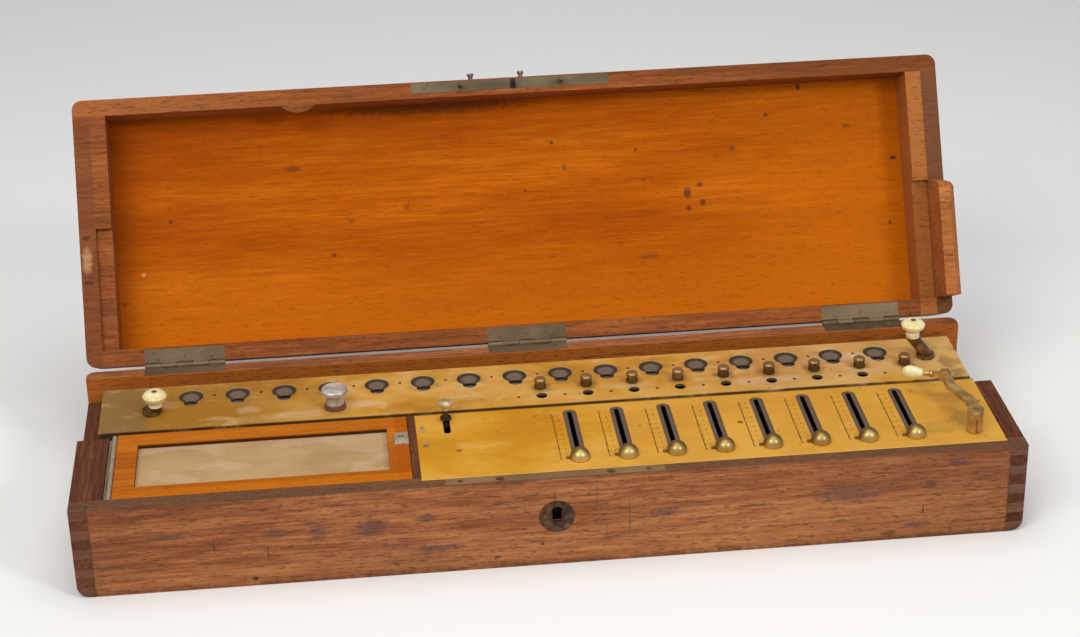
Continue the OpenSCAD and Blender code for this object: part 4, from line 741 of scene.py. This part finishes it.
swing = Matrix.Translation(hingeLine) @ openTurn @ Matrix.Translation(-hingeLine)
rimZ = 2 * hingeLine.z - caseTop
lidScrews, caseScrews, lidCuts, caseCuts = bmesh.new(), bmesh.new(), bmesh.new(), bmesh.new()
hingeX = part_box("hinge_base_leaves")[1].x - trimScrew["hingeHalf"]
lockY = sum(corner.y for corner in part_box("box_lock")) / 2
screwSpots = []
for i, x in enumerate((-hingeX, 0, hingeX)):
    for k in (-1, 0, 1):
        turn = trimScrew["firstTurn"] + trimScrew["hingeTurn"] * i + trimScrew["screwTurn"] * k
        y = hingeLine.y - trimScrew["inset"] - trimScrew["middleInset"] * (k == 0)
        screwSpots.append((x + k * trimScrew["spread"], y, turn))
screwSpots += [(x, lockY, turn) for x, turn in trimScrew["lock"]]
for x, y, turn in screwSpots:
    addScrew(caseScrews, caseCuts, Vector((x, y, caseTop)), up, turn)
    addScrew(lidScrews, lidCuts, swing @ Vector((x, y, rimZ)), -lidOut, turn + trimScrew["lidTurn"])
addPiece("caseTrimScrews", caseScrews, brass["dullBrass"], "case")
addPiece("caseTrimScrewCuts", caseCuts, engraving, "case")
addPiece("lidTrimScrews", lidScrews, brass["dullBrass"], "lid")
addPiece("lidTrimScrewCuts", lidCuts, engraving, "lid")
print("trim screws set")

# Studio: a pale floor that curves up into a backdrop, a soft light in front at each side and one above
studio = {"floor": (0.93, 0.925, 0.905), "cloud": (0.88, 0.875, 0.85), "cloudWaves": (2.5, 2.5, 2.5),
          "cloudShare": 0.12, "rough": 0.8, "far": 2.2, "near": -3.2, "half": 4.0, "bend": 0.9,
          "bendSteps": 12, "wall": 3.2, "air": (0.96, 0.97, 1.0, 1), "airLight": 0.32}
mesh = bmesh.new()
profile = [(studio["near"], 0.0), (studio["far"], 0.0)]
for k in range(1, studio["bendSteps"] + 1):
    a = math.radians(90 * k / studio["bendSteps"])
    profile.append((studio["far"] + studio["bend"] * math.sin(a), studio["bend"] * (1 - math.cos(a))))
profile.append((studio["far"] + studio["bend"], studio["wall"]))
rows = [[mesh.verts.new((side * studio["half"], y, z)) for side in (-1, 1)] for y, z in profile]
for a, b in zip(rows, rows[1:]):
    mesh.faces.new((a[0], a[1], b[1], b[0]))
data = bpy.data.meshes.new("studioSweep")
mesh.to_mesh(data)
mesh.free()
for face in data.polygons:
    face.use_smooth = True
f = Finish("paleSweep")
cloud = f.noise(studio["cloudWaves"], 2.0, 0.5, 1.0)
data.materials.append(f.done(f.surface({
    "Base Color": f.mix(cloud * studio["cloudShare"], studio["floor"], studio["cloud"]),
    "Roughness": studio["rough"],
})))
sweep = bpy.data.objects.new("studioSweep", data)
bpy.context.scene.collection.objects.link(sweep)


def addSoftbox(name, place, aim, size, power, colour):
    lamp = bpy.data.lights.new(name, "AREA")
    lamp.shape = "RECTANGLE"
    lamp.size, lamp.size_y = size
    lamp.energy = power
    lamp.color = colour
    holder = bpy.data.objects.new(name, lamp)
    bpy.context.scene.collection.objects.link(holder)
    holder.location = place
    holder.rotation_euler = (Vector(aim) - Vector(place)).to_track_quat("-Z", "Y").to_euler()


# Each lamp's name, place, aim, size in metres, power in watts and colour
softboxes = [
    ("keyLight", (-0.75, -1.05, 1.40), (0.0, 0.0, 0.05), (1.0, 0.8), 13.5, (1.0, 0.99, 0.97)),
    ("topLight", (0.05, 0.05, 1.70), (0.0, 0.0, 0.0), (1.4, 1.0), 10, (0.99, 0.99, 1.0)),
    ("rightKey", (0.95, -1.10, 1.15), (0.0, 0.0, 0.05), (0.3, 0.3), 7.5, (1.0, 0.99, 0.98)),
]
for lamp in softboxes:
    addSoftbox(*lamp)
world = bpy.data.worlds.new("studioAir")
world.use_nodes = True
air = world.node_tree.nodes["Background"]
air.inputs["Color"].default_value = studio["air"]
air.inputs["Strength"].default_value = studio["airLight"]
bpy.context.scene.world = world
bpy.context.scene.view_settings.view_transform = "Standard"

# Camera from the photograph's perspective: place in metres, angles in degrees
lens = {"place": (-0.12391, -1.31465, 0.78877), "yaw": 5.406, "pitch": 26.70, "roll": -1.20, "focal": 78.75,
        "sensor": 36.0, "far": 20}
yaw, pitch, roll = (math.radians(lens[k]) for k in ("yaw", "pitch", "roll"))
ahead = Vector((math.sin(yaw) * math.cos(pitch), math.cos(yaw) * math.cos(pitch), -math.sin(pitch)))
right = Vector((math.cos(yaw), -math.sin(yaw), 0))
level = right.cross(ahead)
sideways = right * math.cos(roll) + level * math.sin(roll)
upward = level * math.cos(roll) - right * math.sin(roll)
cameraData = bpy.data.cameras.new("photoCamera")
cameraData.sensor_width = lens["sensor"]
cameraData.lens = lens["focal"]
cameraData.clip_end = lens["far"]
camera = bpy.data.objects.new("photoCamera", cameraData)
bpy.context.scene.collection.objects.link(camera)
turn = Matrix((sideways, upward, -ahead)).transposed().to_4x4()
camera.matrix_world = Matrix.Translation(lens["place"]) @ turn
bpy.context.scene.camera = camera
print("studio and camera set")
